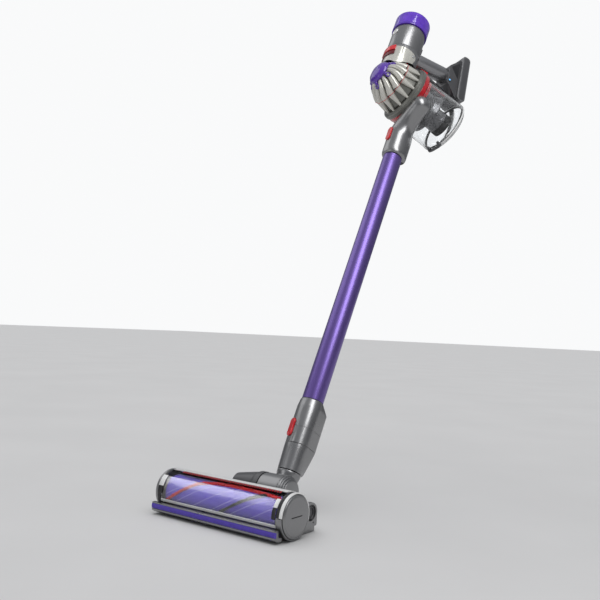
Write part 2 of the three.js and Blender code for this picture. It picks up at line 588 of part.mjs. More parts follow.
function handleTube() {
  const tube = ring(HANDLE.radius - HANDLE.wall, HANDLE.radius, -30, 90, 32);
  const triggerSlot = block(-TRIGGER.halfWidth - 0.5, TRIGGER.halfWidth + 0.5, 5, 20, TRIGGER.from - 0.5,
    TRIGGER.to + 0.5);
  const motorRoom = rod(MOTOR.radius + GAP, 150, 320, 28).applyMatrix4(motorFrame);
  const batteryRoom = block(-60, 60, -100, 100, WEDGE.front - 0.3, 60).applyMatrix4(batteryFrame);
  return cut(cut(tube, triggerSlot).applyMatrix4(handleFrame), motorRoom, batteryRoom);
}

function buildHandle() {
  const tube = handleTube();
  const rightSide = block(0.15, 60, -100, 200, 100, 400);
  const leftSide = block(-60, -0.15, -100, 200, 100, 400);
  add(handheld, 'handle_right', overlap(tube, rightSide), DARK_GREY);
  add(handheld, 'handle_left', overlap(tube, leftSide), DARK_GREY);
  const inHandle = (geometry) => geometry.applyMatrix4(handleFrame);
  add(handheld, 'trigger', inHandle(block(-TRIGGER.halfWidth, TRIGGER.halfWidth, TRIGGER.top, TRIGGER.bottom,
    TRIGGER.from, TRIGGER.to)), RED);
  add(handheld, 'trigger_switch', inHandle(block(-4, 4, -4, 4, TRIGGER.from + 2, TRIGGER.to - 2)), BLACK);
  add(handheld, 'control_board', inHandle(block(-9, 9, -1, 1, 26, 58)), GREEN_BOARD);
}

function buildBattery() {
  const inBattery = (geometry) => geometry.applyMatrix4(batteryFrame);
  const wedge = plateAlongX([[-47, WEDGE.back], [-17, WEDGE.front], [28, WEDGE.front], [57, WEDGE.back]],
    -WEDGE.halfWidth, WEDGE.halfWidth);
  const cavity = plateAlongX([[-44, -10.5], [-16.4, -35.6], [26.4, -35.6], [54.8, -10.5]],
    -WEDGE.halfWidth + 2.2, WEDGE.halfWidth - 2.2);
  add(handheld, 'battery_case', inBattery(cut(wedge, cavity)), DARK_GREY);
  const base = alongX(roundedPlate(BATTERY.halfLength, BATTERY.halfThick, 9.5, -BATTERY.halfWidth,
    BATTERY.halfWidth));
  const chargeSocket = block(-6, 6, 48, 60, -3.5, 3.5);
  add(handheld, 'battery_base', inBattery(cut(base, chargeSocket)), DARK_GREY);
  const cellAtX = (x) => rod(9.1, -26, 26, 20).rotateX(Math.PI / 2).translate(x, 6.5, -20.6);
  add(handheld, 'battery_cells', inBattery(join(cellAtX(-9), cellAtX(9))), STEEL);
  add(handheld, 'status_light', inBattery(alongX(rod(2.2, WEDGE.halfWidth + 0.3, WEDGE.halfWidth + 1.2, 14))
    .translate(0, 19.8, -34)), BLUE_LIGHT);
}

buildHead();
buildStick();
buildInlet();
buildBin();
buildMotor();
buildHandle();
buildBattery();

export default vacuum;
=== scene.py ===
import json
import math
import random

import bmesh
import bpy
from mathutils import Matrix, Vector

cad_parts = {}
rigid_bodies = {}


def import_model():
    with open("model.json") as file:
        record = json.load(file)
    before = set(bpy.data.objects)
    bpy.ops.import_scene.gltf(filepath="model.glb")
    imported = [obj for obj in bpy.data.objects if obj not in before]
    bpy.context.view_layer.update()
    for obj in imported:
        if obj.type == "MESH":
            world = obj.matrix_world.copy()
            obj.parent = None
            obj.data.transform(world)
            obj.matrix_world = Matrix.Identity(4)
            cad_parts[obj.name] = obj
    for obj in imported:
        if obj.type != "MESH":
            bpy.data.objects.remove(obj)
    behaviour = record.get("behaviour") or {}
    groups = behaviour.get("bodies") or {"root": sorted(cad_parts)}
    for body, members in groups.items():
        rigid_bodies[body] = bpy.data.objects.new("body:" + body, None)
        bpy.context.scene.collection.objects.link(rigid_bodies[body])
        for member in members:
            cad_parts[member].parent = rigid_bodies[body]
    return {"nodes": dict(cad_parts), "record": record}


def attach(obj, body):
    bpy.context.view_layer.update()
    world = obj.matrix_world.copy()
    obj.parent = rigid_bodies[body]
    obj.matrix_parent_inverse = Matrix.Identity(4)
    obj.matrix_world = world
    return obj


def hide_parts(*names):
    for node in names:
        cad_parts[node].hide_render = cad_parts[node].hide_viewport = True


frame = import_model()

for name in ("Cube", "Light", "Camera"):
    if name in bpy.data.objects:
        bpy.data.objects.remove(bpy.data.objects[name])

# ---------------------------------------------------------------------------
# Driving dimensions in millimetres; places and directions come from the frame
# ---------------------------------------------------------------------------

MM = 0.001
TURN = 2 * math.pi

NECK_FOOT = 38.0             # the swivel joint's height along the wand axis
MOUTH = 692.8                # the handheld starts here along the wand axis
MOTOR_Y = -53.6              # the motor axis, in front of the wand axis
BIN_START = (-14.6, 155.0)   # the cyclone ring's centre: behind and above the mouth
HANDLE_START = (-9.0, 250.0)
SLAB_HALF = 10.5             # half the battery slab's thickness

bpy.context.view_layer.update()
node_slot = {part["node"]: part["material_slot"] for part in frame["record"]["subparts"]}
joints = {joint["name"]: joint for joint in frame["record"]["behaviour"]["joints"]}
mounts = {mount["name"]: mount for mount in frame["record"]["mounts"]}


def joint_axis(name):
    return Vector(joints[name]["axis"]).normalized()


class Place:
    """A local frame: shapes are made in it in millimetres and land in the row frame in metres."""

    def __init__(self, origin, x, z):
        self.origin = Vector(origin)
        self.x = Vector(x).normalized()
        self.z = Vector(z).normalized()
        self.y = self.z.cross(self.x)
        turn = Matrix((self.x, self.y, self.z)).transposed().to_4x4()
        self.matrix = Matrix.Translation(self.origin) @ turn @ Matrix.Scale(MM, 4)

    def at(self, x, y, z):
        return self.matrix @ Vector((x, y, z))


WAND_UP = joint_axis("elbow_swivel")
REAR = joint_axis("wand_button_press")
RIGHT = REAR.cross(WAND_UP)

row = Place((0, 0, 0), (1, 0, 0), (0, 0, 1))
stick = Place(Vector(joints["elbow_swivel"]["pos_m"]) - WAND_UP * NECK_FOOT * MM, RIGHT, WAND_UP)
hand = Place(stick.at(0, 0, MOUTH), RIGHT, WAND_UP)
motor = Place(hand.at(0, MOTOR_Y, 0), RIGHT, WAND_UP)
bin_place = Place(hand.at(0, *BIN_START), RIGHT, joint_axis("push_rod_slide"))
grip = Place(hand.at(0, *HANDLE_START), RIGHT, RIGHT.cross(-joint_axis("trigger_pull")))
battery_out = Vector(mounts["battery_face"]["axis"])
battery = Place(Vector(mounts["battery_face"]["pos_m"]) - battery_out * SLAB_HALF * MM, RIGHT, battery_out)

# ---------------------------------------------------------------------------
# Materials
# ---------------------------------------------------------------------------


class Nodes:
    """A material's node tree, with short calls for the nodes used here."""

    def __init__(self, name):
        self.material = bpy.data.materials.new(name)
        self.material.use_nodes = True
        self.tree = self.material.node_tree
        self.shader = self.tree.nodes["Principled BSDF"]
        self.place = self.node("TexCoord").outputs["Object"]

    def node(self, kind):
        return self.tree.nodes.new("ShaderNode" + kind)

    def set(self, **values):
        for key, value in values.items():
            self.shader.inputs[key.replace("_", " ")].default_value = value
        return self

    def link(self, source, target):
        self.tree.links.new(source, target)

    def feed(self, sockets, values):
        """Gives each socket its value: another node's output, a colour or a number."""
        for socket, value in zip(sockets, values):
            if hasattr(value, "links"):
                self.link(value, socket)
            else:
                socket.default_value = (*value, 1) if isinstance(value, tuple) else value

    def noise(self, scale, detail=3.0, stretch=None, rough=0.5):
        source = self.place
        if stretch:
            mapping = self.node("Mapping")
            mapping.inputs["Rotation"].default_value = stretch[0]
            mapping.inputs["Scale"].default_value = stretch[1]
            self.link(source, mapping.inputs["Vector"])
            source = mapping.outputs["Vector"]
        node = self.node("TexNoise")
        node.inputs["Scale"].default_value = scale
        node.inputs["Detail"].default_value = detail
        node.inputs["Roughness"].default_value = rough
        self.link(source, node.inputs["Vector"])
        return node.outputs["Fac"]

    def math(self, operation, a, b=0.0, c=0.0):
        node = self.node("Math")
        node.operation = operation
        self.feed(node.inputs, (a, b, c))
        return node.outputs[0]

    def ramp(self, factor, low, high, first, second):
        """first below low, second above high, and a blend between."""
        node = self.node("ValToRGB")
        node.color_ramp.elements[0].position = low
        node.color_ramp.elements[1].position = high
        node.color_ramp.elements[0].color = (*first, 1)
        node.color_ramp.elements[1].color = (*second, 1)
        self.link(factor, node.inputs["Fac"])
        return node.outputs["Color"]

    def mix(self, factor, first, second):
        node = self.node("Mix")
        node.data_type = "RGBA"
        self.feed((node.inputs[0], node.inputs[6], node.inputs[7]), (factor, first, second))
        return node.outputs[2]

    def color(self, source):
        self.link(source, self.shader.inputs["Base Color"])
        return self

    def rough(self, factor, low, high):
        node = self.node("MapRange")
        node.inputs["To Min"].default_value = low
        node.inputs["To Max"].default_value = high
        self.link(factor, node.inputs["Value"])
        self.link(node.outputs["Result"], self.shader.inputs["Roughness"])
        return self

    def bump(self, height, strength, distance):
        node = self.node("Bump")
        node.inputs["Strength"].default_value = strength
        node.inputs["Distance"].default_value = distance
        self.link(height, node.inputs["Height"])
        self.link(node.outputs["Normal"], self.shader.inputs["Normal"])
        return self


def shade(color, factor):
    return tuple(min(1.0, value * factor) for value in color)


def metallic_plastic(name, color, metallic=0.75, low=0.26, high=0.38):
    """Moulded plastic with metal flake: a fine sparkle, soft cloudiness and a satin bump."""
    nodes = Nodes(name)
    flake = nodes.noise(2600, 1.0)
    cloud = nodes.noise(26, 4.0)
    fine = nodes.ramp(flake, 0.35, 0.7, shade(color, 0.86), shade(color, 1.12))
    soft = nodes.ramp(cloud, 0.3, 0.75, shade(color, 0.93), shade(color, 1.05))
    nodes.color(nodes.mix(0.5, fine, soft))
    nodes.rough(cloud, low, high).bump(flake, 0.06, 0.0002)
    nodes.set(Metallic=metallic, Coat_Weight=0.25, Coat_Roughness=0.18)
    return nodes.material


def moulded(name, color, low=0.3, high=0.45, grain=0.12, coat=0.0):
    """Plain moulded plastic with a fine spark-eroded grain."""
    nodes = Nodes(name)
    grain_height = nodes.noise(1500, 2.0)
    cloud = nodes.noise(40, 4.0)
    nodes.color(nodes.ramp(cloud, 0.3, 0.7, shade(color, 0.88), shade(color, 1.1)))
    nodes.rough(cloud, low, high).bump(grain_height, grain, 0.0002)
    nodes.set(Coat_Weight=coat, Coat_Roughness=0.08)
    return nodes.material


def anodised(name, color):
    """Anodised drawn tube: long faint draw lines along the wand."""
    nodes = Nodes(name)
    lean = math.atan2(WAND_UP.y, WAND_UP.z)
    lines = nodes.noise(900, 2.0, stretch=((lean, 0, 0), (1, 1, 0.012)))
    cloud = nodes.noise(18, 3.0)
    tone = nodes.ramp(lines, 0.3, 0.7, shade(color, 0.9), shade(color, 1.1))
    wide = nodes.ramp(cloud, 0.3, 0.7, shade(color, 0.94), shade(color, 1.06))
    nodes.color(nodes.mix(0.5, tone, wide))
    nodes.rough(lines, 0.33, 0.43).bump(lines, 0.08, 0.0001)
    nodes.set(Metallic=0.9, Coat_Weight=0.3, Coat_Roughness=0.2)
    return nodes.material


def clear_plastic(name, ior, **coat):
    """Clear polycarbonate with the faintest haze and scuffs."""
    tint = (0.96, 0.97, 0.98)
    nodes = Nodes(name)
    scuff = nodes.noise(300, 5.0, rough=0.7)
    nodes.color(nodes.ramp(scuff, 0.3, 0.8, tint, shade(tint, 0.97)))
    nodes.rough(scuff, 0.0, 0.04)
    nodes.set(Transmission_Weight=1.0, IOR=ior, **coat)
    return nodes.material


def tinted_plastic(name, color, deep, weight):
    """Translucent tinted plastic: light passes, and the body of the colour stays."""
    nodes = Nodes(name)
    cloud = nodes.noise(60, 3.0)
    nodes.color(nodes.ramp(cloud, 0.3, 0.7, deep, color))
    nodes.rough(cloud, 0.06, 0.14).bump(nodes.noise(700, 2.0), 0.03, 0.0002)
    nodes.set(Transmission_Weight=weight, IOR=1.45, Coat_Weight=0.6, Coat_Roughness=0.04)
    return nodes.material


def pile(name, color):
    """Short woven pile."""
    nodes = Nodes(name)
    fibre = nodes.noise(1900, 3.0, rough=0.7)
    cloud = nodes.noise(130, 4.0)
    base = nodes.mix(0.55, nodes.ramp(fibre, 0.3, 0.7, shade(color, 0.62), shade(color, 1.3)),
        nodes.ramp(cloud, 0.3, 0.7, shade(color, 0.85), shade(color, 1.15)))
    height = nodes.math("ADD", fibre, nodes.math("MULTIPLY", cloud, 0.6))
    nodes.color(base)
    nodes.rough(fibre, 0.75, 0.95).bump(height, 0.5, 0.0005)
    nodes.set(Sheen_Weight=0.35, Sheen_Roughness=0.4)
    return nodes.material


def metal(name, color, low=0.2, high=0.32):
    nodes = Nodes(name)
    lines = nodes.noise(700, 3.0, stretch=((0, 0, 0), (1, 1, 0.05)))
    nodes.color(nodes.ramp(lines, 0.3, 0.7, shade(color, 0.88), shade(color, 1.06)))
    nodes.rough(lines, low, high).bump(lines, 0.05, 0.0001)
    nodes.set(Metallic=1.0)
    return nodes.material


def glow(name, color, strength):
    nodes = Nodes(name)
    cloud = nodes.noise(900, 2.0)
    nodes.color(nodes.ramp(cloud, 0.3, 0.7, shade(color, 0.8), color))
    nodes.rough(cloud, 0.1, 0.2)
    nodes.set(Emission_Color=(*color, 1), Emission_Strength=strength)
    return nodes.material


NICKEL = (0.28, 0.28, 0.285)

# Each maker's finishes: the colour, then what the maker takes next
FINISHES = {
    metallic_plastic: {
        "satin_grey": (NICKEL, 0.9, 0.24, 0.34),
        "dark_grey": ((0.085, 0.085, 0.09), 0.45, 0.32, 0.44),
        "warm_grey": ((0.60, 0.59, 0.54), 0.35, 0.22, 0.32),
        "ring_grey": ((0.15, 0.15, 0.135), 0.5, 0.3, 0.4),
        "shroud_grey": ((0.13, 0.13, 0.135), 0.7, 0.22, 0.32),
        "handle_satin": ((0.26, 0.26, 0.27), 0.85, 0.26, 0.34),
        "slab_grey": ((0.17, 0.17, 0.175), 0.5, 0.3, 0.4),
        # a lighter copy of satin grey for trims whose own slot is satin_grey: painted highlight
        "light_satin": ((0.84, 0.84, 0.83), 0.2, 0.34, 0.44),
    },
    tinted_plastic: {
        "purple_clear": ((0.20, 0.06, 0.80), (0.13, 0.03, 0.62), 0.35),
        "red_clear": ((0.70, 0.02, 0.03), (0.50, 0.01, 0.02), 0.35),
        "purple_gloss": ((0.115, 0.04, 0.43), (0.085, 0.025, 0.34), 0.12),
    },
    anodised: {
        "purple_aluminium": ((0.17, 0.11, 0.38),),
    },
    pile: {
        "purple_fabric": ((0.085, 0.05, 0.42),),
        "filter_felt": ((0.62, 0.6, 0.56),),
    },
    moulded: {
        "red_plastic": ((0.62, 0.012, 0.02), 0.2, 0.3, 0.05, 0.5),
        "dark_red": ((0.22, 0.012, 0.03), 0.3, 0.4),
        "red_bristle": ((0.62, 0.02, 0.025), 0.5, 0.65),
        "black_bristle": ((0.012, 0.012, 0.014), 0.5, 0.7),
        "black_plastic": ((0.014, 0.014, 0.016), 0.28, 0.4),
        "black_rubber": ((0.012, 0.012, 0.012), 0.6, 0.75, 0.3),
        "wheel_grey": ((0.03, 0.03, 0.032), 0.45, 0.6),
        "board_green": ((0.01, 0.09, 0.04), 0.3, 0.45),
        "purple_deep": ((0.09, 0.025, 0.42), 0.15, 0.25, 0.05, 0.4),
        # darker red for the lever's recess: painted shade
        "lever_dark": ((0.12, 0.005, 0.01), 0.3, 0.4),
        "seam_thread": ((0.30, 0.26, 0.58), 0.7, 0.9, 0.4),
    },
    metal: {
        "steel": ((0.62, 0.62, 0.64),),
        "motor_alloy": ((0.5, 0.42, 0.34), 0.3, 0.45),
    },
    glow: {
        "light_blue": ((0.2, 0.55, 1.0), 0.5),
    },
}

finishes = {name: maker(name, *values) for maker, rows in FINISHES.items() for name, values in rows.items()}
finishes["clear"] = clear_plastic("clear", 1.3)
finishes["thin_clear"] = clear_plastic("thin_clear", 1.06)
finishes["pane_clear"] = clear_plastic("pane_clear", 1.2, Coat_Weight=1.0, Coat_IOR=1.5,
    Coat_Roughness=0.26)

# ---------------------------------------------------------------------------
# Shape tools: each makes or changes a bmesh in millimetres
# ---------------------------------------------------------------------------

TO_X = Matrix(((0, 0, 1, 0), (1, 0, 0, 0), (0, 1, 0, 0), (0, 0, 0, 1)))
TINY = 1e-6
NEARLY_STRAIGHT = math.radians(176)


def softened(points, radius, steps=4, closed=False):
    """Rounds the corners of a polyline of (a, b) points; a third value sets its own radius."""
    count = len(points)
    result = []
    for i, point in enumerate(points):
        own = point[2] if len(point) > 2 else radius
        here = Vector(point[:2])
        if (not closed and i in (0, count - 1)) or own <= 0:
            result.append(tuple(here))
            continue
        before = Vector(points[i - 1][:2]) - here
        after = Vector(points[(i + 1) % count][:2]) - here
        if before.length < TINY or after.length < TINY:
            continue
        angle = before.angle(after)
        if angle > NEARLY_STRAIGHT:
            result.append(tuple(here))
            continue
        reach = min(own / math.tan(angle / 2), before.length * 0.48, after.length * 0.48)
        start = here + before.normalized() * reach
        end = here + after.normalized() * reach
        for step in range(steps + 1):
            t = step / steps
            curve = start * (1 - t) ** 2 + here * 2 * t * (1 - t) + end * t ** 2
            result.append(tuple(curve))
    return result


def loop(points, radius, steps=4):
    """A closed outline with rounded corners."""
    return softened(points, radius, steps, closed=True)


def turned(profile, segments=96, start=0.0, end=TURN):
    """Spins (radius, height) points about Z; the profile runs counter-clockwise in (r, z)."""
    bm = bmesh.new()
    full = abs(end - start - TURN) < TINY
    count = segments if full else segments + 1
    closed = (Vector(profile[0]) - Vector(profile[-1])).length < TINY
    points = profile[:-1] if closed else profile
    columns = []
    for radius, height in points:
        if radius < TINY:
            columns.append([bm.verts.new((0, 0, height))] * count)
            continue
        ring = []
        for i in range(count):
            angle = start + (end - start) * i / segments
            ring.append(bm.verts.new((radius * math.cos(angle), radius * math.sin(angle), height)))
        columns.append(ring)
    pairs = list(zip(columns, columns[1:] + ([columns[0]] if closed else [])))
    for low, high in pairs if closed else pairs[:len(columns) - 1]:
        for i in range(segments):
            j = (i + 1) % count
            corners = []
            for vert in (low[i], low[j], high[j], high[i]):
                if vert not in corners:
                    corners.append(vert)
            if len(corners) > 2:
                bm.faces.new(corners)
    if not full:
        bm.faces.new([column[0] for column in columns])
        bm.faces.new([column[-1] for column in reversed(columns)])
    return bm


def turned_loop(outline, *spin):
    """Spins a closed outline about Z."""
    return turned(outline + outline[:1], *spin)


def lofted(*stacks):
    """Skins each stack of rings of 3-D points, which have the same count."""
    bm = bmesh.new()
    for rings in stacks:
        levels = [[bm.verts.new(point) for point in ring] for ring in rings]
        count = len(levels[0])
        for low, high in zip(levels, levels[1:]):
            for i in range(count):
                j = (i + 1) % count
                bm.faces.new((low[i], low[j], high[j], high[i]))
        bm.faces.new(list(reversed(levels[0])))
        bm.faces.new(levels[-1])
    return bm


def prism(points, low, high):
    """A flat outline in X-Y, carried from low to high along Z."""
    return lofted([[(x, y, low) for x, y in points], [(x, y, high) for x, y in points]])


def prism_along_x(points, low, high):
    """A (y, z) outline carried along X."""
    bm = prism(points, low, high)
    bm.transform(TO_X)
    return bm


def cuboid(x0, x1, y0, y1, z0, z1):
    return prism([(x0, y0), (x1, y0), (x1, y1), (x0, y1)], z0, z1)


def round_rect(half_x, half_y, radius, steps=8):
    corners = [(half_x, half_y), (-half_x, half_y), (-half_x, -half_y), (half_x, -half_y)]
    return loop([(x, y, radius) for x, y in corners], radius, steps)


def arc_points(radius, start, end, steps, centre=(0, 0)):
    return [(centre[0] + radius * math.cos(start + (end - start) * i / steps), centre[1] + radius *
        math.sin(start + (end - start) * i / steps)) for i in range(steps + 1)]


def band(inner, outer, start, end, steps):
    """The outline of a ring's sector, in degrees."""
    first, last = math.radians(start), math.radians(end)
    return arc_points(outer, first, last, steps) + list(reversed(arc_points(inner, first, last, steps)))


def ridged(radius, ridge_radius, ridge_y, count=96):
    """The outline round a front circle and a smaller rear circle."""
    points = []
    for i in range(count):
        angle = -TURN * i / count
        nx, ny = math.sin(angle), math.cos(angle)
        rear = ny * ridge_y + ridge_radius > radius
        reach = ridge_radius if rear else radius
        points.append((nx * reach, ny * reach + (ridge_y if rear else 0)))
    return points


def together(*shapes):
    """One bmesh holding several closed shells."""
    whole = bmesh.new()
    for shape in shapes:
        mesh = bpy.data.meshes.new("part")
        shape.to_mesh(mesh)
        shape.free()
        whole.from_mesh(mesh)
        bpy.data.meshes.remove(mesh)
    return whole


def placed(bm, *steps):
    for step in steps:
        bm.transform(step)
    return bm


def shift(x, y, z):
    return Matrix.Translation((x, y, z))


def upright(x, y, z):
    """Stands an X-Y outline up in X-Z at (x, y, z)."""
    return Matrix(((1, 0, 0, x), (0, 0, 1, y), (0, 1, 0, z), (0, 0, 0, 1)))


def linked(name, data):
    """A new object in the scene."""
    ob = bpy.data.objects.new(name, data)
    bpy.context.scene.collection.objects.link(ob)
    return ob


def as_object(bm, name="work"):
    bmesh.ops.recalc_face_normals(bm, faces=bm.faces)
    mesh = bpy.data.meshes.new(name)
    bm.to_mesh(mesh)
    bm.free()
    return linked(name, mesh)


def bake_modifiers(ob):
    """Replaces the mesh by what its modifiers make of it."""
    graph = bpy.context.evaluated_depsgraph_get()
    mesh = bpy.data.meshes.new_from_object(ob.evaluated_get(graph))
    old = ob.data
    ob.modifiers.clear()
    ob.data = mesh
    bpy.data.meshes.remove(old)


def taken_from(ob, *tools):
    """The mesh that an object's modifiers make; the object and its tools go."""
    bake_modifiers(ob)
    result = bmesh.new()
    result.from_mesh(ob.data)
    for item in (ob, *tools):
        mesh = item.data
        bpy.data.objects.remove(item)
        bpy.data.meshes.remove(mesh)
    return result


def combine(bm, others, operation):
    ob = as_object(bm)
    tools = [as_object(other) for other in others]
    for tool in tools:
        modifier = ob.modifiers.new("combine", "BOOLEAN")
        modifier.operation = operation
        modifier.solver = "EXACT"
        modifier.object = tool
    return taken_from(ob, *tools)


def carved(bm, *cutters):
    return combine(bm, cutters, "DIFFERENCE")


def united(bm, *others):
    return combine(bm, others, "UNION")


def melted(bm, voxel, smooth, factor=0.5):
    """Fuses shells into one skin and relaxes it, for shapes that flow into each other."""
    ob = as_object(bm)
    remesh = ob.modifiers.new("fuse", "REMESH")
    remesh.mode = "VOXEL"
    remesh.voxel_size = voxel
    relax = ob.modifiers.new("relax", "SMOOTH")
    relax.iterations = smooth
    relax.factor = factor
    return taken_from(ob)


def piece(name, bm, place, material, body="handheld", nodes=(), slot=None, bevel=0.0, angle=35):
    """Finishes one visible piece: bevel, smooth shading, place, material, body and what it replaces.
    The slot argument is not used."""
    slot = slot or material
    ob = as_object(bm, name)
    if bevel:
        modifier = ob.modifiers.new("bevel", "BEVEL")
        modifier.width = bevel
        modifier.segments = 3
        modifier.limit_method = "ANGLE"
        modifier.angle_limit = math.radians(38)
        modifier.use_clamp_overlap = True
        bake_modifiers(ob)
    ob.data.transform(place.matrix)
    ob.data.shade_smooth()
    ob.data.set_sharp_from_angle(angle=math.radians(angle))
    ob.data.materials.clear()
    ob.data.materials.append(finishes[material])
    ob.data.name = name
    ob.name = name
    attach(ob, body)
    if nodes:
        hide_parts(*nodes)
    return ob


def curve_through(points, steps=8):
    """A smooth path through the given points."""
    points = [Vector(point) for point in points]
    result = []
    for i in range(len(points) - 1):
        a, b = points[max(i - 1, 0)], points[i]
        c, d = points[i + 1], points[min(i + 2, len(points) - 1)]
        for step in range(steps):
            t = step / steps
            result.append(0.5 * (2 * b + (c - a) * t + (2 * a - 5 * b + 4 * c - d) * t ** 2 + (3 * b - a - 3
                * c + d) * t ** 3))
    result.append(points[-1])
    return result


def heading(path, i):
    """The path's direction at its point i."""
    return (Vector(path[min(i + 1, len(path) - 1)]) - Vector(path[max(i - 1, 0)])).normalized()


def hoop(centre, across, along, steps):
    """A closed path round a centre."""
    return [centre + across * math.cos(TURN * t / steps) + along * math.sin(TURN * t / steps) for t in
        range(steps + 1)]


def cross_rod(y, z, *sizes):
    """A rod along X through (y, z)."""
    return placed(rod(*sizes), shift(0, y, z) @ TO_X)


def swept(path, radii, sides=24):
    """A tube along a path; radii holds a radius for each point, or two for its ends."""
    count = len(path)
    if len(radii) == 2:
        radii = [radii[0] + (radii[1] - radii[0]) * i / (count - 1) for i in range(count)]
    rings = []
    up = None
    for i, point in enumerate(path):
        ahead = heading(path, i)
        up = ahead.orthogonal() if up is None else up
        up = (up - ahead * up.dot(ahead)).normalized()
        side = ahead.cross(up)
        rings.append([Vector(point) + side * radii[i] * math.cos(TURN * k / sides) + up * radii[i] *
            math.sin(TURN * k / sides) for k in range(sides)])
    return lofted(rings)


def strip_along(path, half_width, thickness, across):
    """A flat strap along a path; across is its width direction."""
    across = Vector(across).normalized()
    rings = []
    for i, point in enumerate(path):
        ahead = heading(path, i)
        normal = ahead.cross(across).normalized() * thickness / 2
        wide = across * half_width
        point = Vector(point)
        rings.append([point - wide - normal, point + wide - normal, point + wide + normal, point - wide +
            normal])
    return lofted(rings)


def interpolate(table, x):
    """Straight-line value between (x, value) pairs."""
    if x <= table[0][0]:
        return table[0][1]
    for (x0, v0), (x1, v1) in zip(table, table[1:]):
        if x <= x1:
            return v0 + (v1 - v0) * (x - x0) / (x1 - x0)
    return table[-1][1]


def ring_shell(inner, outer, low, high, round_edge=0.5, segments=96):
    profile = loop([(inner, low), (outer, low), (outer, high), (inner, high)], round_edge, 3)
    return turned_loop(profile, segments)


def rod(radius, low, high, round_edge=0.4, segments=48):
    profile = softened([(0, low), (radius, low), (radius, high), (0, high)], round_edge, 3)
    return turned(profile, segments)


# ---------------------------------------------------------------------------
# Stage: floor, lights and camera
# ---------------------------------------------------------------------------

CAMERA_AT = (0.7253, -0.8744, 0.2883)
CAMERA_AZIMUTH = math.radians(36.22)
CAMERA_PITCH = math.radians(-2.39)
CAMERA_ROLL = math.radians(2.45)
CAMERA_LENS = 44.44
FLOOR_HALF = 30              # metres from the middle of the floor to its edge
SKY_POWER, SKY_SPREAD = 1.5, math.radians(75)

# name, place, target, size and power
LIGHTS = (
    ("strip", (1.15, -0.38, 1.9), (0.02, 0.32, 0.5), (0.9, 1.8), 24),
    ("overhead", (-1.4, -0.15, 1.55), (0, -0.05, 0.1), (1.9, 1.25), 6),
    ("front", (-0.9, -2.2, 0.9), (0, 0, 0.3), (1.2, 1.2), 5),
    ("glare", (-1.1, -0.6, 0.93), (-1.1, -0.6, 0), (1.6, 1.25), 17),
    ("card", (1.3, -1.3, 0.2), (0.05, 0.5, 0.85), (0.9, 0.9), 26),
)


def add_camera():
    data = bpy.data.cameras.new("camera")
    data.lens = CAMERA_LENS
    data.sensor_width = 36
    data.clip_start = 0.01
    camera = linked("camera", data)
    sin_a, cos_a = math.sin(CAMERA_AZIMUTH), math.cos(CAMERA_AZIMUTH)
    sin_e, cos_e = math.sin(CAMERA_PITCH), math.cos(CAMERA_PITCH)
    back = Vector((sin_a * cos_e, -cos_a * cos_e, sin_e))
    right = Vector((cos_a, sin_a, 0))
    up = back.cross(right)
    sin_r, cos_r = math.sin(CAMERA_ROLL), math.cos(CAMERA_ROLL)
    turn = Matrix((right * cos_r + up * sin_r, up * cos_r - right * sin_r, back)).transposed()
    camera.matrix_world = Matrix.Translation(CAMERA_AT) @ turn.to_4x4()
    bpy.context.scene.camera = camera


def add_light(name, place, target, size, power):
    data = bpy.data.lights.new(name, "AREA")
    data.shape = "RECTANGLE"
    data.size, data.size_y = size
    data.energy = power
    light = linked(name, data)
    aim = Vector(target) - Vector(place)
    light.matrix_world = Matrix.Translation(place) @ aim.to_track_quat("-Z", "Y").to_matrix().to_4x4()


def add_sky():
    """A very soft light from straight above, so the floor is even out to the horizon."""
    data = bpy.data.lights.new("sky", "SUN")
    data.energy = SKY_POWER
    data.angle = SKY_SPREAD
    linked("sky", data)


def add_stage():
    bm = bmesh.new()
    bmesh.ops.create_grid(bm, x_segments=4, y_segments=4, size=FLOOR_HALF)
    mesh = bpy.data.meshes.new("floor")
    bm.to_mesh(mesh)
    bm.free()
    floor = linked("floor", mesh)
    nodes = Nodes("floor")
    cloud = nodes.noise(3, 4.0)
    nodes.color(nodes.ramp(cloud, 0.3, 0.7, (0.66, 0.655, 0.65), (0.69, 0.685, 0.68)))
    nodes.rough(cloud, 0.7, 0.85)
    mesh.materials.append(nodes.material)
    add_world()
    add_sky()
    for light in LIGHTS:
        add_light(*light)


def add_world():
    """A pale backdrop, and a dimmer room that brightens towards its ceiling to light the object."""
    world = bpy.data.worlds.new("world")
    world.use_nodes = True
    tree = world.node_tree
    backdrop = tree.nodes["Background"]
    backdrop.inputs["Color"].default_value = (0.95, 0.955, 0.96, 1)
    room = tree.nodes.new("ShaderNodeBackground")
    place = tree.nodes.new("ShaderNodeTexCoord")
    axes = tree.nodes.new("ShaderNodeSeparateXYZ")
    ramp = tree.nodes.new("ShaderNodeValToRGB")
    ramp.color_ramp.elements[0].position = 0.05
    ramp.color_ramp.elements[1].position = 0.9
    ramp.color_ramp.elements[0].color = (0.13, 0.135, 0.145, 1)
    ramp.color_ramp.elements[1].color = (0.50, 0.51, 0.53, 1)
    choice = tree.nodes.new("ShaderNodeMixShader")
    rays = tree.nodes.new("ShaderNodeLightPath")
    tree.links.new(place.outputs["Generated"], axes.inputs[0])
    tree.links.new(axes.outputs["Z"], ramp.inputs["Fac"])
    tree.links.new(ramp.outputs["Color"], room.inputs["Color"])
    seen = tree.nodes.new("ShaderNodeMath")
    seen.operation = "MAXIMUM"
    tree.links.new(rays.outputs["Is Camera Ray"], seen.inputs[0])
    tree.links.new(rays.outputs["Is Transmission Ray"], seen.inputs[1])
    tree.links.new(seen.outputs[0], choice.inputs["Fac"])
    tree.links.new(room.outputs[0], choice.inputs[1])
    tree.links.new(backdrop.outputs[0], choice.inputs[2])
    tree.links.new(choice.outputs[0], tree.nodes["World Output"].inputs["Surface"])
    bpy.context.scene.world = world
    bpy.context.scene.view_settings.view_transform = "Standard"


add_camera()
add_stage()

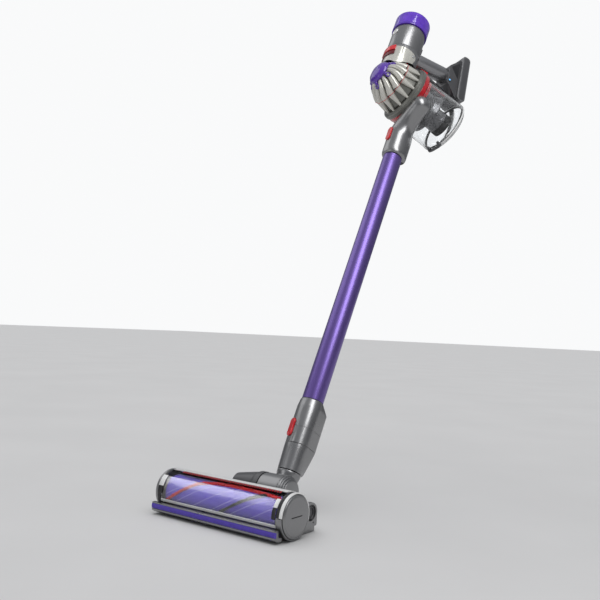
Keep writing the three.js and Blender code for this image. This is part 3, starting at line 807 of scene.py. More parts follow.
# ---------------------------------------------------------------------------
# Floor head: the row frame; round parts are turned about the brush or pivot axis
# ---------------------------------------------------------------------------

BRUSH_Y, BRUSH_Z = -40.0, 33.0
PIVOT_Y, PIVOT_Z = 73.0, 32.0
COVER_LEFT, COVER_RIGHT = -116.5, 111.5
COVER_IN, COVER_OUT = 29.45, 31.6
WHEEL_Y, WHEEL_RADIUS = 6.0, 13.4
ARCH_Y, ARCH_Z, ARCH_RADIUS = 7, 29, 14.8
COMB_TEETH = 84
COMB_LEFT, COMB_SPAN = -88, 190
WINDOW_STEP = 128.0          # the thicker lower part of the window starts at this angle

at_brush = shift(0, BRUSH_Y, BRUSH_Z) @ TO_X
at_pivot = shift(0, PIVOT_Y, PIVOT_Z) @ TO_X


def brush_arc(inner, outer, left, right, start, end, steps=32):
    """A curved wall round the roller; angles run from the rear over the top to the front."""
    return placed(prism(band(inner, outer, start, end, steps), left, right), at_brush)


def make_cover():
    shell = brush_arc(COVER_IN, COVER_OUT, COVER_LEFT, COVER_RIGHT, -46, 66, 40)
    deck = cuboid(-110.8, 110.8, -14, 19.8, 28.2, 33.6)
    back = cuboid(-110.8, 110.8, 17.2, 19.9, 9.2, 30)
    channel = prism_along_x(loop([(-12, 10.2, 2), (44.6, 10.2, 3), (44.6, 38, 6), (30, 43.6, 8), (-12, 43.6,
        6)], 4, 6), -29.6, 23.6)
    tails = []
    for low, high in ((-115.8, -98.2), (98.2, 115.8)):
        outline = [(-11.8, 9.2, 0), (21.8, 9.2, 2.5), (21.8, 29, 0.1)]
        arch = arc_points(ARCH_RADIUS, 0, math.pi, 24, (ARCH_Y, ARCH_Z))
        tails.append(prism_along_x(softened(outline, 1, 4) + arch + [(-11.8, 29)], low, high))
    ribs = [cuboid(x - 1.4, x + 1.4, -11.6, 18, 9.5, 29) for x in (-80.5, 80.5)]
    whole = united(shell, deck, back, channel, *tails, *ribs)
    brush_room = placed(rod(COVER_IN, -116.4, 111.7, 0, 96), at_brush)
    ring_room = placed(rod(33.6, 111.7, 130, 0, 96), at_brush)
    pivot_room = placed(rod(27.5, -90, 40, 0, 96), at_pivot)
    wheel_rooms = [cross_rod(WHEEL_Y, WHEEL_RADIUS, ARCH_RADIUS, x - 7, x + 7, 0, 48) for x in (-89, 89)]
    arches = [cross_rod(ARCH_Y, ARCH_Z, 11.6, low, high, 0, 48) for low, high in ((-117, -112.6), (112.6,
        117))]
    dots = [cross_rod(y, z, 1.5, 114.8, 117, 0, 20) for y, z in ((11, 19.5), (13, 14.5))]
    whole = carved(whole, brush_room, ring_room, pivot_room, *wheel_rooms, *arches, *dots)
    piece("head_cover", whole, row, "satin_grey", "head", ["brush_housing"], bevel=0.6)
    inserts = together(*[cross_rod(ARCH_Y, ARCH_Z, 11.3, low, high, 0.3) for low, high in ((-113.2, -112),
        (112, 113.2))], *[cross_rod(y, z, 1.3, 114, 115.2, 0.1, 20) for y, z in ((11, 19.5), (13, 14.5))],
        placed(ring_shell(7.6, 9, 113, 114.6, 0.3), shift(0, ARCH_Y, ARCH_Z) @ TO_X))
    piece("tail_inserts", inserts, row, "dark_grey", "head")


def make_comb():
    outline = loop(band(COVER_IN, 33.1, 64.5, 89, 12), 1.1, 3)
    lip = loop(band(31.35, 33.1, 86, 98, 8), 0.7, 3)
    bar = placed(together(prism(outline, COVER_LEFT, COVER_RIGHT), prism(lip, COVER_LEFT + 8, COVER_RIGHT -
        2)), at_brush)
    # The bar is drawn in a lighter copy of satin grey: painted highlight along its top.
    piece("comb_rail", bar, row, "light_satin", "head", ["comb_bar"], "satin_grey", bevel=0.4)
    for color, first in (("red_plastic", 0), ("black_plastic", 1)):
        teeth = []
        for i in range(first, COMB_TEETH, 2):
            x = COMB_LEFT + COMB_SPAN * i / (COMB_TEETH - 1)
            rings = []
            for degrees, half, depth in ((97, 0.9, 0.5), (102, 0.8, 0.45), (107 - first * 1.5, 0.45, 0.25)):
                angle = math.radians(degrees)
                lean = (degrees - 97) * 0.1
                rings.append([((31.9 + out) * math.cos(angle), (31.9 + out) * math.sin(angle), x + along +
                    lean) for along, out in ((-half, -depth), (half, -depth), (half, depth), (-half,
                    depth))])
            teeth.append(lofted(rings))
        piece("comb_teeth_" + color, placed(together(*teeth), at_brush), row, color, "head")


def make_window():
    pane = brush_arc(29.6, 31.2, -110.5, 110.3, WINDOW_STEP, 203, 64)
    piece("window_pane", pane, row, "pane_clear", "head", ["brush_window"], "clear", bevel=0.35)
    top = brush_arc(29.6, 30.8, -110.5, 110.3, 90, WINDOW_STEP - 0.3, 40)
    piece("window_top", top, row, "thin_clear", "head", slot="clear")
    ends = together(brush_arc(29.4, 31.5, -116.2, -111.4, 96, 203, 48), brush_arc(31.25, 32.0, -116.2, -107,
        161, 180, 20), brush_arc(31.25, 32.0, 104.5, 111, 153, 182, 20))
    piece("window_brackets", ends, row, "black_plastic", "head", bevel=0.4)
    frames = together(brush_arc(31.6, 32.2, -116.4, -106.8, 128, 160, 32), brush_arc(31.3, 32.1, 104.6,
        111.4, 128, 152.5, 32), brush_arc(29.6, 31.6, -111, 110.6, 196, 204, 6))
    # The window frames are drawn in a lighter copy of satin grey: painted highlight.
    piece("window_frame", frames, row, "light_satin", "head", slot="satin_grey", bevel=0.5)


def make_front():
    upper = prism_along_x(loop([(-70.7, 16.2), (-77.3, 17.2, 0.4), (-77.5, 18.3, 0.5), (-73, 19, 0.8),
        (-66.1, 19, 0.5), (-66.1, 9.2), (-70.7, 9.2)], 0.4, 3), -116.2, 111.4)
    lip = prism_along_x(loop([(-75, 16.4), (-77.4, 17.0, 0.4), (-77.6, 18.3, 0.5), (-74, 19, 0.8), (-70.6,
        19)], 0.4, 3), -121.8, 117.8)
    back = cuboid(-121.8, 117.8, -75.2, -70.8, 9.2, 17.5)
    piece("rail_front", together(upper, lip, back), row, "satin_grey", "head", ["front_rail"], bevel=0.3)
    felt = prism_along_x(loop([(-75.3, 9.4), (-77.6, 9.5, 0.8), (-78, 12), (-78, 14.5), (-77.5, 16.8, 0.8),
        (-75.3, 16.8)], 0.6), -121.6, 117.6)
    piece("felt_strip", felt, row, "purple_fabric", "head", ["front_felt"])
    lower = prism_along_x(loop([(-63, 3.2), (-72, 3.2, 3), (-77.2, 6.6, 1.2), (-77.6, 9.0, 0.5), (-75, 9.2),
        (-63, 8)], 0.4), -121.4, 117.4)
    sides = [cuboid(-116, -109, -66, -13, 3.2, 8), cuboid(107, 111.8, -66, -13, 3.2, 8)]
    pad = cuboid(-111.8, 111.8, -16, 22, 0, 8)
    slots = [cuboid(x - 9.2, x + 7.2, -9, 21, -1, 9) for x in (-87, 89)]
    piece("sole", carved(united(pad, lower, *sides), *slots), row, "satin_grey", "head", ["sole_plate"],
        "dark_grey", bevel=0.6)


def make_ends():
    top = brush_arc(30.7, 32.4, 112.2, 117.6, -20, 176, 64)
    piece("ring_upper", top, row, "black_plastic", "head", ["end_ring"], bevel=0.5)
    rim = brush_arc(30.7, 32.6, 117.8, 122.8, -20, 176, 64)
    # The ring's rim is drawn in a lighter copy of satin grey: painted highlight.
    piece("ring_rim", rim, row, "light_satin", "head", slot="satin_grey", bevel=0.5)
    bottom = brush_arc(30.7, 32.5, 112.2, 122.4, 178, 339, 64)
    lip = brush_arc(29.5, 31.2, 111.9, 116.4, 98, 203, 48)
    piece("ring_lower", together(bottom, lip), row, "satin_grey", "head", bevel=0.6)
    left = placed(turned(softened([(0, -125), (27, -124.6), (31.4, -121.5, 2.5), (31.4, -117.2), (0,
        -117.2)], 0.8, 5), 96), at_brush)
    piece("left_cover", left, row, "satin_grey", "head", ["left_end_cap"])
    face = softened([(0, 117.6), (29, 117.6), (30.1, 118.4), (30.1, 123.6, 1.0), (28.2, 124.9, 0.8), (27.4,
        124.3, 0.3), (26.8, 124.8, 0.3), (0, 124.9)], 0.4, 4)
    disc = placed(turned(face, 128), at_brush)
    slot_cut = placed(prism(round_rect(12.5, 0.8, 0.8), 123.6, 126), at_brush)
    piece("end_disc", carved(disc, slot_cut), row, "satin_grey", "end_cap", ["right_end_cap"])
    # A black floor in the coin slot: painted shade at its bottom.
    inner = placed(prism(round_rect(12.4, 0.75, 0.7), 123.4, 123.8), at_brush)
    piece("coin_slot_floor", inner, row, "black_plastic", "end_cap")


RED_ROW = [(-104, 205), (-76, 166), (-45, 124), (-18, 108), (12, 102), (45, 104), (78, 110), (104, 118)]
BLACK_ROW = [(-104, 338), (0, 208), (35, 165), (57, 136), (80, 110), (104, 86)]
SEAM_SLOPE = 1.25
ROW_HALF = 104.0             # half a bristle row's length
TUFT_STEP = 1.05


def bristle_row(table, seed):
    """Tufts of tapered fibres standing in a curved row round the roller."""
    chance = random.Random(seed)
    tufts = []
    x = -ROW_HALF
    while x < ROW_HALF:
        for line in (-1.4, -0.5, 0.4, 1.3):
            angle = math.radians(interpolate(table, x) + chance.uniform(-0.6, 0.6)) + line / 24
            base = x + chance.uniform(-0.4, 0.4)
            bend = chance.uniform(-0.9, 0.9)
            turn_bend = chance.uniform(-0.03, 0.03)
            top = 27.9 - chance.uniform(0, 0.7)
            rings = []
            for radius, half, share in ((24.0, 0.55, 0.0), (26, 0.5, 0.4), (top, 0.26, 1.0)):
                a = angle + turn_bend * share
                c, s = math.cos(a), math.sin(a)
                z = base + bend * share
                rings.append([(radius * c - w * s, radius * s + w * c, z + h) for w, h in ((-half, -half),
                    (half, -half), (half, half), (-half, half))])
            tufts.append(rings)
        x += TUFT_STEP
    return placed(lofted(*tufts), at_brush)


def helical_strip(degrees, half_width, inner, outer):
    """A thin line climbing round the roller."""
    rings = []
    steps = 90
    for i in range(steps + 1):
        x = -105 + 210 * i / steps
        angle = math.radians(degrees - SEAM_SLOPE * x)
        c, s = math.cos(angle), math.sin(angle)
        rings.append([(r * c - w * s, r * s + w * c, x) for r, w in ((inner, -half_width), (outer,
            -half_width), (outer, half_width), (inner, half_width))])
    return lofted(rings)


def make_roller():
    chance = random.Random(7)
    profile = loop([(4.2, -107), (24, -107, 1.5), (24, 107, 1.5), (9, 107), (9, 104), (4.2, 104)], 0.4)
    fleece = turned_loop(profile, 128)
    bmesh.ops.subdivide_edges(fleece, edges=[edge for edge in fleece.edges if abs(edge.verts[0].co.z -
        edge.verts[1].co.z) > 100], cuts=150)
    for vert in fleece.verts:
        if Vector(vert.co.xy).length > 23.5:
            vert.co.xy *= 1 + chance.uniform(-0.004, 0.007)
    piece("roller_fleece", placed(fleece, at_brush), row, "purple_fabric", "brush_bar", ["brush_core"],
        angle=60)
    seams = together(*[helical_strip(8 + 45 * k, 0.4, 23.9, 24.45) for k in range(8)])
    piece("roller_seams", placed(seams, at_brush), row, "seam_thread", "brush_bar", slot="purple_fabric")
    piece("bristles_red", bristle_row(RED_ROW, 1), row, "red_bristle", "brush_bar", ["bristle_row_red"],
        angle=80)
    piece("bristles_black", bristle_row(BLACK_ROW, 2), row, "black_bristle", "brush_bar",
        ["bristle_row_black"], angle=80)


def make_wheels():
    for side, name, body in ((-1, "rear_wheel_left", "left_wheel"), (1, "rear_wheel_right", "right_wheel")):
        profile = softened([(0, 84.2), (9, 84.2), (9.6, 85.2), (12.4, 84.4), (13.3, 85.6), (13.35, 89, 0.2),
            (13.3, 92.4), (12.4, 93.6), (9.6, 92.8), (9, 93.8), (2.2, 93.8), (2.2, 101), (0, 101)], 0.5, 4)
        tread = turned([(r, z * side) for r, z in profile], 72)
        placed(tread, shift(0, WHEEL_Y, WHEEL_RADIUS) @ TO_X)
        piece(body + "_tread", tread, row, "wheel_grey", body, [name])


def make_drums():
    left = softened([(0, -82), (13.5, -82, 1.5), (17.8, -79.5, 2), (25.2, -36, 6), (26.9, -31, 2), (26.95,
        -22.5), (0, -22.5)], 0.5, 5)
    piece("drum_cone", placed(turned(left, 128), at_pivot), row, "dark_grey", "head", ["pivot_drum_left"])
    steps = [(0, 19), (26.9, 19, 0.5), (26.9, 22.8, 0.8), (25.2, 23.2, 0.3), (25.2, 25.8, 0.7), (22.8, 26.2,
        0.3), (22.8, 28.6, 0.7), (20.2, 29, 0.3), (20.2, 30.9, 1.0), (0, 30.9)]
    piece("drum_ribbed", placed(turned(softened(steps, 0.4, 3), 128), at_pivot), row, "satin_grey", "head",
        ["pivot_drum_right"])


# ---------------------------------------------------------------------------
# Elbow, neck and wand
# ---------------------------------------------------------------------------

WAND_OFFSET = 18.0
FRONT_BUTTON_Z = 108.0
COLLAR_RADIUS, COLLAR_RIDGE, COLLAR_RIDGE_Y = 22.0, 11.0, 23.0
COLLAR_CHAMFER, COLLAR_TOP = 149.0, 162.5
TUBE_RADIUS = 19.0
BUTTON_HALF, BUTTON_REACH, BUTTON_WAIST = 6.6, 9.2, 6.1
BUTTON_WINDOW = (7.0, 9.2, 6.5)

saddle_place = Place(joints["head_pitch"]["pos_m"], (1, 0, 0), WAND_UP)


def make_saddle():
    drum = placed(rod(26.45, -21.8, 18.3, 1.0, 96), TO_X)
    stub = placed(turned(softened([(0, 0), (17.9, 0), (17.9, 24), (19.2, 29), (20.2, 34), (20.2, 37.6), (0,
        37.6)], 1.0, 4), 96), shift(0, WAND_OFFSET, 0))
    fillet = placed(turned(softened([(0, 6), (24, 6), (19.4, 26), (0, 26)], 4, 8), 96), shift(0, WAND_OFFSET
        - 1.5, 0))
    whole = melted(together(drum, stub, fillet), 0.7, 14)
    cap_cut = cuboid(-40, 40, -40, 60, 37.5, 60)
    whole = carved(whole, cap_cut, cuboid(-40, -21.75, -60, 60, -60, 60), cuboid(18.25, 40, -60, 60, -60,
        60))
    piece("elbow_skin", whole, saddle_place, "satin_grey", "elbow", ["elbow_saddle"], angle=50)
    lines = together(placed(ring_shell(24.5, 26.75, 18.3, 18.85, 0.15), TO_X), placed(ring_shell(24.5,
        26.75, -22.3, -21.8, 0.15), TO_X))
    piece("elbow_lines", lines, saddle_place, "black_rubber", "elbow")


def outline_ring(outline, z):
    return [(x, y, z) for x, y in outline]


def stacked(levels):
    """A loft through (height, outline) levels."""
    return lofted([outline_ring(outline, z) for z, outline in levels])


def make_neck():
    levels = []
    for z, a, b, c in ((38.4, 19.9, 8.1, 15.4), (38.8, 20.4, 8.6, 15.8), (42, 20.55, 8.9, 16.8),
                       (50.3, 20.8, 9.4, 18.4), (58, 21.1, 9.8, 19.6), (66, 21.45, 10.2, 20.8),
                       (74, 21.75, 10.7, 21.9), (81.2, 21.95, 11, 22.9), (82.2, 21.9, 10.9, 22.95),
                       (82.6, 21.5, 10.5, 22.9)):
        levels.append((z, ridged(a, b, c, 128)))
    body = stacked(levels)
    spigot = rod(17.1, 60, 128, 0.6, 96)
    bore = rod(13.5, 30, 140, 0, 64)
    piece("neck_skin", carved(united(body, spigot), bore), stick, "satin_grey", "neck", ["neck_sleeve"],
        angle=40)


def button_outline(half, reach, waist):
    """A tall two-lobed outline in (x, z): two circles joined through a slight waist."""
    points = []
    for sign in (1, -1):
        centre = sign * reach
        for i in range(25):
            angle = math.radians(-20 + 220 * i / 24) + (0 if sign > 0 else math.pi)
            points.append((half * math.cos(angle), centre + half * math.sin(angle)))
        points.append((-sign * waist, 0))
    return points


def front_button(radius, height):
    """The release button: a two-lobed pad, dished in its lower lobe, standing on the front."""
    layers = []
    for out, scale in ((-0.8, 1.0), (1.9, 1.0), (2.3, 0.97), (2.55, 0.88), (2.6, 0.7)):
        outline = button_outline(BUTTON_HALF * scale, BUTTON_REACH - 0.1 * (1 - scale), BUTTON_WAIST *
            scale)
        layers.append([(x, -radius - out, height + z * (0.94 + 0.06 * scale)) for x, z in outline])
    body = lofted(layers)
    dish = bmesh.new()
    bmesh.ops.create_uvsphere(dish, u_segments=32, v_segments=20, radius=9)
    placed(dish, shift(0, -radius - 10.7, height - 9.5))
    return carved(body, dish)


def make_collar():
    wide = ridged(COLLAR_RADIUS, COLLAR_RIDGE, COLLAR_RIDGE_Y, 128)
    close = ridged(COLLAR_RADIUS - 0.45, COLLAR_RIDGE - 0.45, COLLAR_RIDGE_Y, 128)
    seam = FRONT_BUTTON_Z + 3.6
    levels = [(83.0, close), (83.5, wide), (seam - 0.5, wide), (seam - 0.2, close), (seam + 0.2, close),
        (seam + 0.5, wide), (COLLAR_CHAMFER - 0.6, wide), (COLLAR_CHAMFER + 0.6, ridged(21.85, 10.7, 22.6,
        128)), (COLLAR_TOP - 1.0, ridged(20.45, 6.4, 16.7, 128)), (COLLAR_TOP, ridged(19.7, 5.6, 16.2,
        128))]
    body = stacked(levels)
    tube_bore = rod(TUBE_RADIUS + 0.15, 135.6, 200, 0, 96)
    neck_bore = rod(17.5, 0, 136, 0, 96)
    window = placed(prism(button_outline(*BUTTON_WINDOW), -6, 6), upright(0, -COLLAR_RADIUS - 1,
        FRONT_BUTTON_Z))
    body = carved(body, tube_bore, neck_bore, window)
    piece("collar_skin", body, stick, "satin_grey", "wand", ["wand_collar"], bevel=0.25, angle=30)
    piece("head_button_pad", front_button(COLLAR_RADIUS, FRONT_BUTTON_Z), stick, "red_plastic",
        "head_button", ["head_release_button"], bevel=0.2, angle=40)


def make_wand():
    profile = loop([(17.2, 136), (TUBE_RADIUS, 136), (TUBE_RADIUS, 692.3), (17.2, 692.3)], 0.5, 3)
    piece("wand_skin", turned_loop(profile, 160), stick, "purple_aluminium", "wand", ["wand_tube"])
    ring_marks = ring_shell(18.6, 19.2, 162.6, 163.6, 0.2)
    piece("wand_gasket", ring_marks, stick, "black_rubber", "wand")


# ---------------------------------------------------------------------------
# Handheld: inlet duct, cyclones, bin
# ---------------------------------------------------------------------------

MOUTH_BUTTON_Z = 47.0
RING_RADIUS = 59.5
KNOB_LEGS = 6
BIN_RADIUS = 57.0
CONES = 15
FINGER_STEPS = 12
FINGER_SWEEP = math.radians(20)
RIM_RADIUS = 8.0             # the red rim round each cone's top
FINGER_END = 0.6             # the fingers stop here on the way from the knob to the ring

# The dome's share, radius and height
DOME = [(0.0, 22, -73), (0.16, 32, -68), (0.34, 40.2, -60), (0.52, 47, -49), (0.7, 52.3, -36), (0.86, 55.4,
    -22), (1.0, 56.5, -9)]

to_bin = hand.matrix.inverted() @ bin_place.matrix


def bin_room():
    return placed(turned([(0, -13), (59.85, -13), (59.85, 10.6), (57.35, 10.6), (57.35, 130), (0, 130)],
        128), to_bin)


def make_duct():
    wide = ridged(24.0, 12.0, 17.0, 96)
    levels = [(0.4, ridged(21.3, 9.3, 17, 96)), (1.2, ridged(21.9, 9.9, 17, 96)), (6.4, ridged(23.6, 11.6,
        17, 96)), (9, wide), (58, wide), (76, ridged(20.5, 10, 15.5, 96)), (96, ridged(15, 7, 12, 96)),
        (116, ridged(9, 4, 8, 96))]
    straight = stacked(levels)
    bend = curve_through([(0, 0, 24), (0.6, 0, 46), (7, 0, 70), (22, -0.5, 92), (44, -1, 112)], 12)
    branch = swept(bend, [23.9 - 3.9 * i / (len(bend) - 1) for i in range(len(bend))], 64)
    end = bmesh.new()
    bmesh.ops.create_uvsphere(end, u_segments=48, v_segments=32, radius=20)
    placed(end, shift(44, -1, 112))
    whole = melted(together(straight, branch, end), 1.0, 45, 0.6)
    bore = rod(17.5, -1, 88, 0, 96)
    pocket = cuboid(-6.4, 6.4, 18.6, 25.4, -1, 16.4)
    window = placed(prism(button_outline(*BUTTON_WINDOW), -6, 6), upright(0, -25, MOUTH_BUTTON_Z))
    whole = carved(whole, bin_room(), bore, pocket, window)
    piece("duct_skin", whole, hand, "satin_grey", "handheld", ["inlet_duct"], angle=40)
    piece("wand_button_pad", front_button(24.0, MOUTH_BUTTON_Z), hand, "red_plastic", "wand_button",
        ["wand_release_button"], bevel=0.2, angle=40)


def dome_point(share, angle, lift=0.0):
    """A point on the cyclone dome: share runs from the knob (0) to the ring (1)."""
    radius = interpolate([(s, r) for s, r, z in DOME], share)
    height = interpolate([(s, z) for s, r, z in DOME], share)
    return Vector(((radius + lift) * math.cos(angle), (radius + lift) * math.sin(angle), height - lift *
        0.4))


def make_cyclones():
    base = loop([(18.6, -66), (26, -64), (33, -55), (38.5, -44), (42.5, -32), (45.5, -20), (47.5, -12.2),
        (18.6, -12.2)], 2)
    piece("dome_base", turned_loop(base, 128), bin_place, "ring_grey", "handheld", ["cyclone_pack"],
        "warm_grey")
    fingers, cones, red_lines = [], [], []
    for k in range(CONES):
        start = TURN * k / CONES
        path, radii = [], []
        for i in range(FINGER_STEPS + 1):
            part = i / FINGER_STEPS
            radii.append(3.4 + 4.2 * part + (0.5 if i > 10 else 0))
            path.append(dome_point(FINGER_END * part, start + FINGER_SWEEP * part ** 1.4, 0.6 - radii[-1]))
        fingers.append(swept(path, radii, 28))
        foot = dome_point(1.0, start + FINGER_SWEEP * 1.1, -5.2)
        axis = (foot - path[-1]).normalized()
        cones.append(swept([path[-1].lerp(foot, t) for t in (0, 0.35, 0.7, 0.985)], [6.9, 5.0, 3.2, 1.6],
            28))
        side = axis.orthogonal().normalized()
        other = axis.cross(side)
        centre = path[-1].lerp(foot, 0.03)
        red_lines.append(swept(hoop(centre, side * RIM_RADIUS, other * RIM_RADIUS, 32), [0.42, 0.42], 8))
    piece("cyclone_fingers", together(*fingers), bin_place, "warm_grey", angle=60)
    piece("cyclone_cones", together(*cones), bin_place, "warm_grey")
    piece("cyclone_lines", together(*red_lines), bin_place, "red_plastic")
    ring = loop([(22.5, -12), (54, -12, 0.6), (57, -8.2, 0.5), (RING_RADIUS - 0.6, -7.6, 0.8), (RING_RADIUS,
        -1.2, 0.8), (RING_RADIUS - 0.8, 0, 0.5), (22.5, 0)], 0.4)
    piece("base_ring", turned_loop(ring, 160), bin_place, "ring_grey", "handheld", ["cyclone_ring"])
    red = loop([(50, 0.4), (58, 0.4, 0.8), (58, 9.8, 0.8), (54.6, 9.9), (54.6, 18.5, 0.5), (51, 18.5), (50,
        9.9)], 0.4)
    piece("red_ring", turned_loop(red, 160), bin_place, "red_clear", "handheld", ["cyclone_red_band"],
        "red_plastic")


def make_knob():
    cap = softened([(0, -88), (9, -87.4, 6), (19, -84, 8), (24.6, -79, 4), (25.9, -75, 1.2), (24.6, -72.8,
        0.8), (0, -72.8)], 1, 6)
    legs = []
    for k in range(KNOB_LEGS):
        angle = TURN * (k + 0.5) / KNOB_LEGS
        out = Vector((math.cos(angle), math.sin(angle), 0))
        around = Vector((-math.sin(angle), math.cos(angle), 0))
        down = (out * 0.72 + Vector((0, 0, 0.69))).normalized()
        path = curve_through([out * r + Vector((0, 0, z)) for r, z in ((19, -76), (24, -74.4), (28.5,
            -71.2))], 5)
        legs.append(swept(path, [4.2, 2.9], 18))
        centre = out * 32.2 + Vector((0, 0, -67.6))
        legs.append(swept(hoop(centre, around * 3.5, down * 4.6, 28), [1.45, 1.45], 12))
    whole = melted(together(turned(cap, 96), *legs), 0.5, 4)
    piece("filter_knob", whole, bin_place, "purple_gloss", "pre_filter", ["pre_filter_knob"],
        "purple_clear", angle=60)


def make_bin():
    wall = loop([(55, 10.5), (BIN_RADIUS, 10.5), (BIN_RADIUS, 102), (57.5, 104, 0.8), (57.5, 106), (55,
        106)], 0.4)
    lugs = []
    for side in (-1, 1):
        outline = loop([(55.5, 98), (58, 97, 1), (64, 103, 3), (64, 109, 2.5), (58, 109, 1.5), (55.5, 106)],
            1)
        lugs.append(prism_along_x(outline, side * 14.6 - 2, side * 14.6 + 2))
    piece("bin_wall", turned_loop(wall, 160), bin_place, "clear", "handheld", ["bin"])
    piece("hinge_lugs", together(*lugs), bin_place, "dark_grey", bevel=0.3)
    skirt = loop([(35, 0.4), (38, 0.4), (38, 44, 2), (38.6, 48, 2), (43.8, 60, 2), (43.8, 62, 0.5), (41,
        62), (35, 49)], 0.4)
    piece("shroud_skin", turned_loop(skirt, 128), bin_place, "shroud_grey", "handheld", ["shroud"],
        "dark_grey")
    beads = together(*[ring_shell(37.6, 38.5, z - 0.5, z + 0.5, 0.3, 128) for z in (4, 43)])
    piece("shroud_beads", beads, bin_place, "dark_grey")
    column = loop([(21, 0.5), (24, 0.5), (24, 64), (23.4, 66, 1), (23.4, 84), (24, 86, 1), (24, 96, 1.5),
        (23, 105.4, 1.5), (21, 105.4)], 0.5)
    piece("dust_column", turned_loop(column, 128), bin_place, "shroud_grey", "handheld", ["fine_dust_tube"],
        "black_plastic")
    foot = ring_shell(20.6, 24.3, 90, 105.5, 1.2, 96)
    piece("dust_column_foot", foot, bin_place, "black_rubber")


def door_height(radius):
    return interpolate([(0, 125), (18, 124.2), (36, 121.2), (46, 117.8), (50, 116.4), (54, 113.4), (57,
        110.2)], radius)


def make_door():
    outer = [(57, 106.5), (57, 110.2, 2), (50, 116.4, 6), (36, 121.2, 10), (18, 124.2, 10), (0, 125)]
    inner = [(0, 122.8), (18, 121.8, 8), (35, 118.8, 8), (48, 114.0, 4), (54.9, 109.4, 1.5), (54.9, 106.5)]
    shell = softened(outer + inner, 0.5, 6)
    knuckle = cross_rod(61, 107, 3.3, -11.8, 11.8, 0.5, 40)
    piece("door_shell", turned_loop(shell, 160), bin_place, "clear", "bin_door", ["bin_door"])
    ear = cuboid(-11.6, 11.6, 55, 61, 106.8, 110.2)
    piece("door_knuckle", together(knuckle, ear), bin_place, "dark_grey", "bin_door", bevel=0.5)
    rim = loop([(54.6, 106.6), (57.4, 106.6, 0.5), (57.4, 109.8, 0.8), (54.6, 110.6)], 0.4)
    # The door rim is drawn in a lighter copy of satin grey: painted highlight.
    piece("door_rim", turned_loop(rim, 160), bin_place, "light_satin", "bin_door", slot="satin_grey")
    seal = ring_shell(50.2, 54.5, 106.8, 108.9, 0.6, 128)
    piece("door_seal_ring", seal, bin_place, "black_rubber", "bin_door", ["bin_door_seal"])
    path = curve_through([(0, y, door_height(abs(y)) - 3.4) for y in (-54, -50, -42, -32, -20, -8, 8, 20,
        32, 42, 50, 54)], 5)
    piece("door_strap", strip_along(path, 5.2, 1.2, (1, 0, 0)), bin_place, "black_plastic", "bin_door",
        bevel=0.3)
    edges = together(*[strip_along([p + Vector((side * 6.3, 0, 0.2)) for p in path], 0.9, 2.0, (1, 0, 0))
        for side in (-1, 1)])
    # The strap's edges are drawn in a lighter copy of satin grey: painted highlight along them.
    piece("door_strap_edges", edges, bin_place, "light_satin", "bin_door", slot="satin_grey", bevel=0.3)
    clasp = prism_along_x(loop([(-58.3, 106.9), (-55.5, 106.9), (-54.6, 112.4), (-56.6, 113.6), (-58.3,
        112.6)], 0.6), -5.4, 5.4)
    piece("door_clasp", clasp, bin_place, "black_plastic", "bin_door", bevel=0.3)


def make_rail():
    runner = prism(loop([(-9.8, -57.8), (-9.8, -68, 2), (-7.5, -70.9, 1.5), (7.5, -70.9, 1.5), (9.8, -68,
        2), (9.8, -57.8)], 1), 10.8, 85.8)
    grooves = [placed(prism(round_rect(1.0, 33, 0.9), -1, 1), upright(x, -71, 48)) for x in (-4.5, 4.5)]
    body = carved(runner, *grooves)
    piece("rail_skin", body, bin_place, "satin_grey", "handheld", ["bin_rail"], bevel=0.4)
    hook = prism_along_x(loop([(-63.9, 85.6), (-58.8, 85.6), (-58.8, 113.8, 1.2), (-61, 113.8, 1.2), (-63.9,
        110.5, 2)], 0.6), -5.8, 5.8)
    piece("latch_hook", hook, bin_place, "dark_grey", bevel=0.3)
    rod_bar = together(prism(loop([(10.5, -67.8), (12.5, -67.8), (12.5, -61.2), (10.5, -61.2)], 0.5, 3),
        18.2, 44), prism(loop([(10.5, -66.8), (12.0, -66.8), (12.0, -62.2), (10.5, -62.2)], 0.3, 3), 43,
        56), prism(loop([(10.5, -67.8), (12.5, -67.8), (12.5, -61.2), (10.5, -61.2)], 0.5, 3), 55, 79.8))
    piece("push_bar", rod_bar, bin_place, "dark_red", "push_rod", ["release_push_rod"], bevel=0.2)


# ---------------------------------------------------------------------------
# Handheld: motor body and its filter cap
# ---------------------------------------------------------------------------


MOTOR_RADIUS = 35.05
SCREW_Y, SCREW_Z = 8, 219
LOUVRES = 54
PLEATS = 72


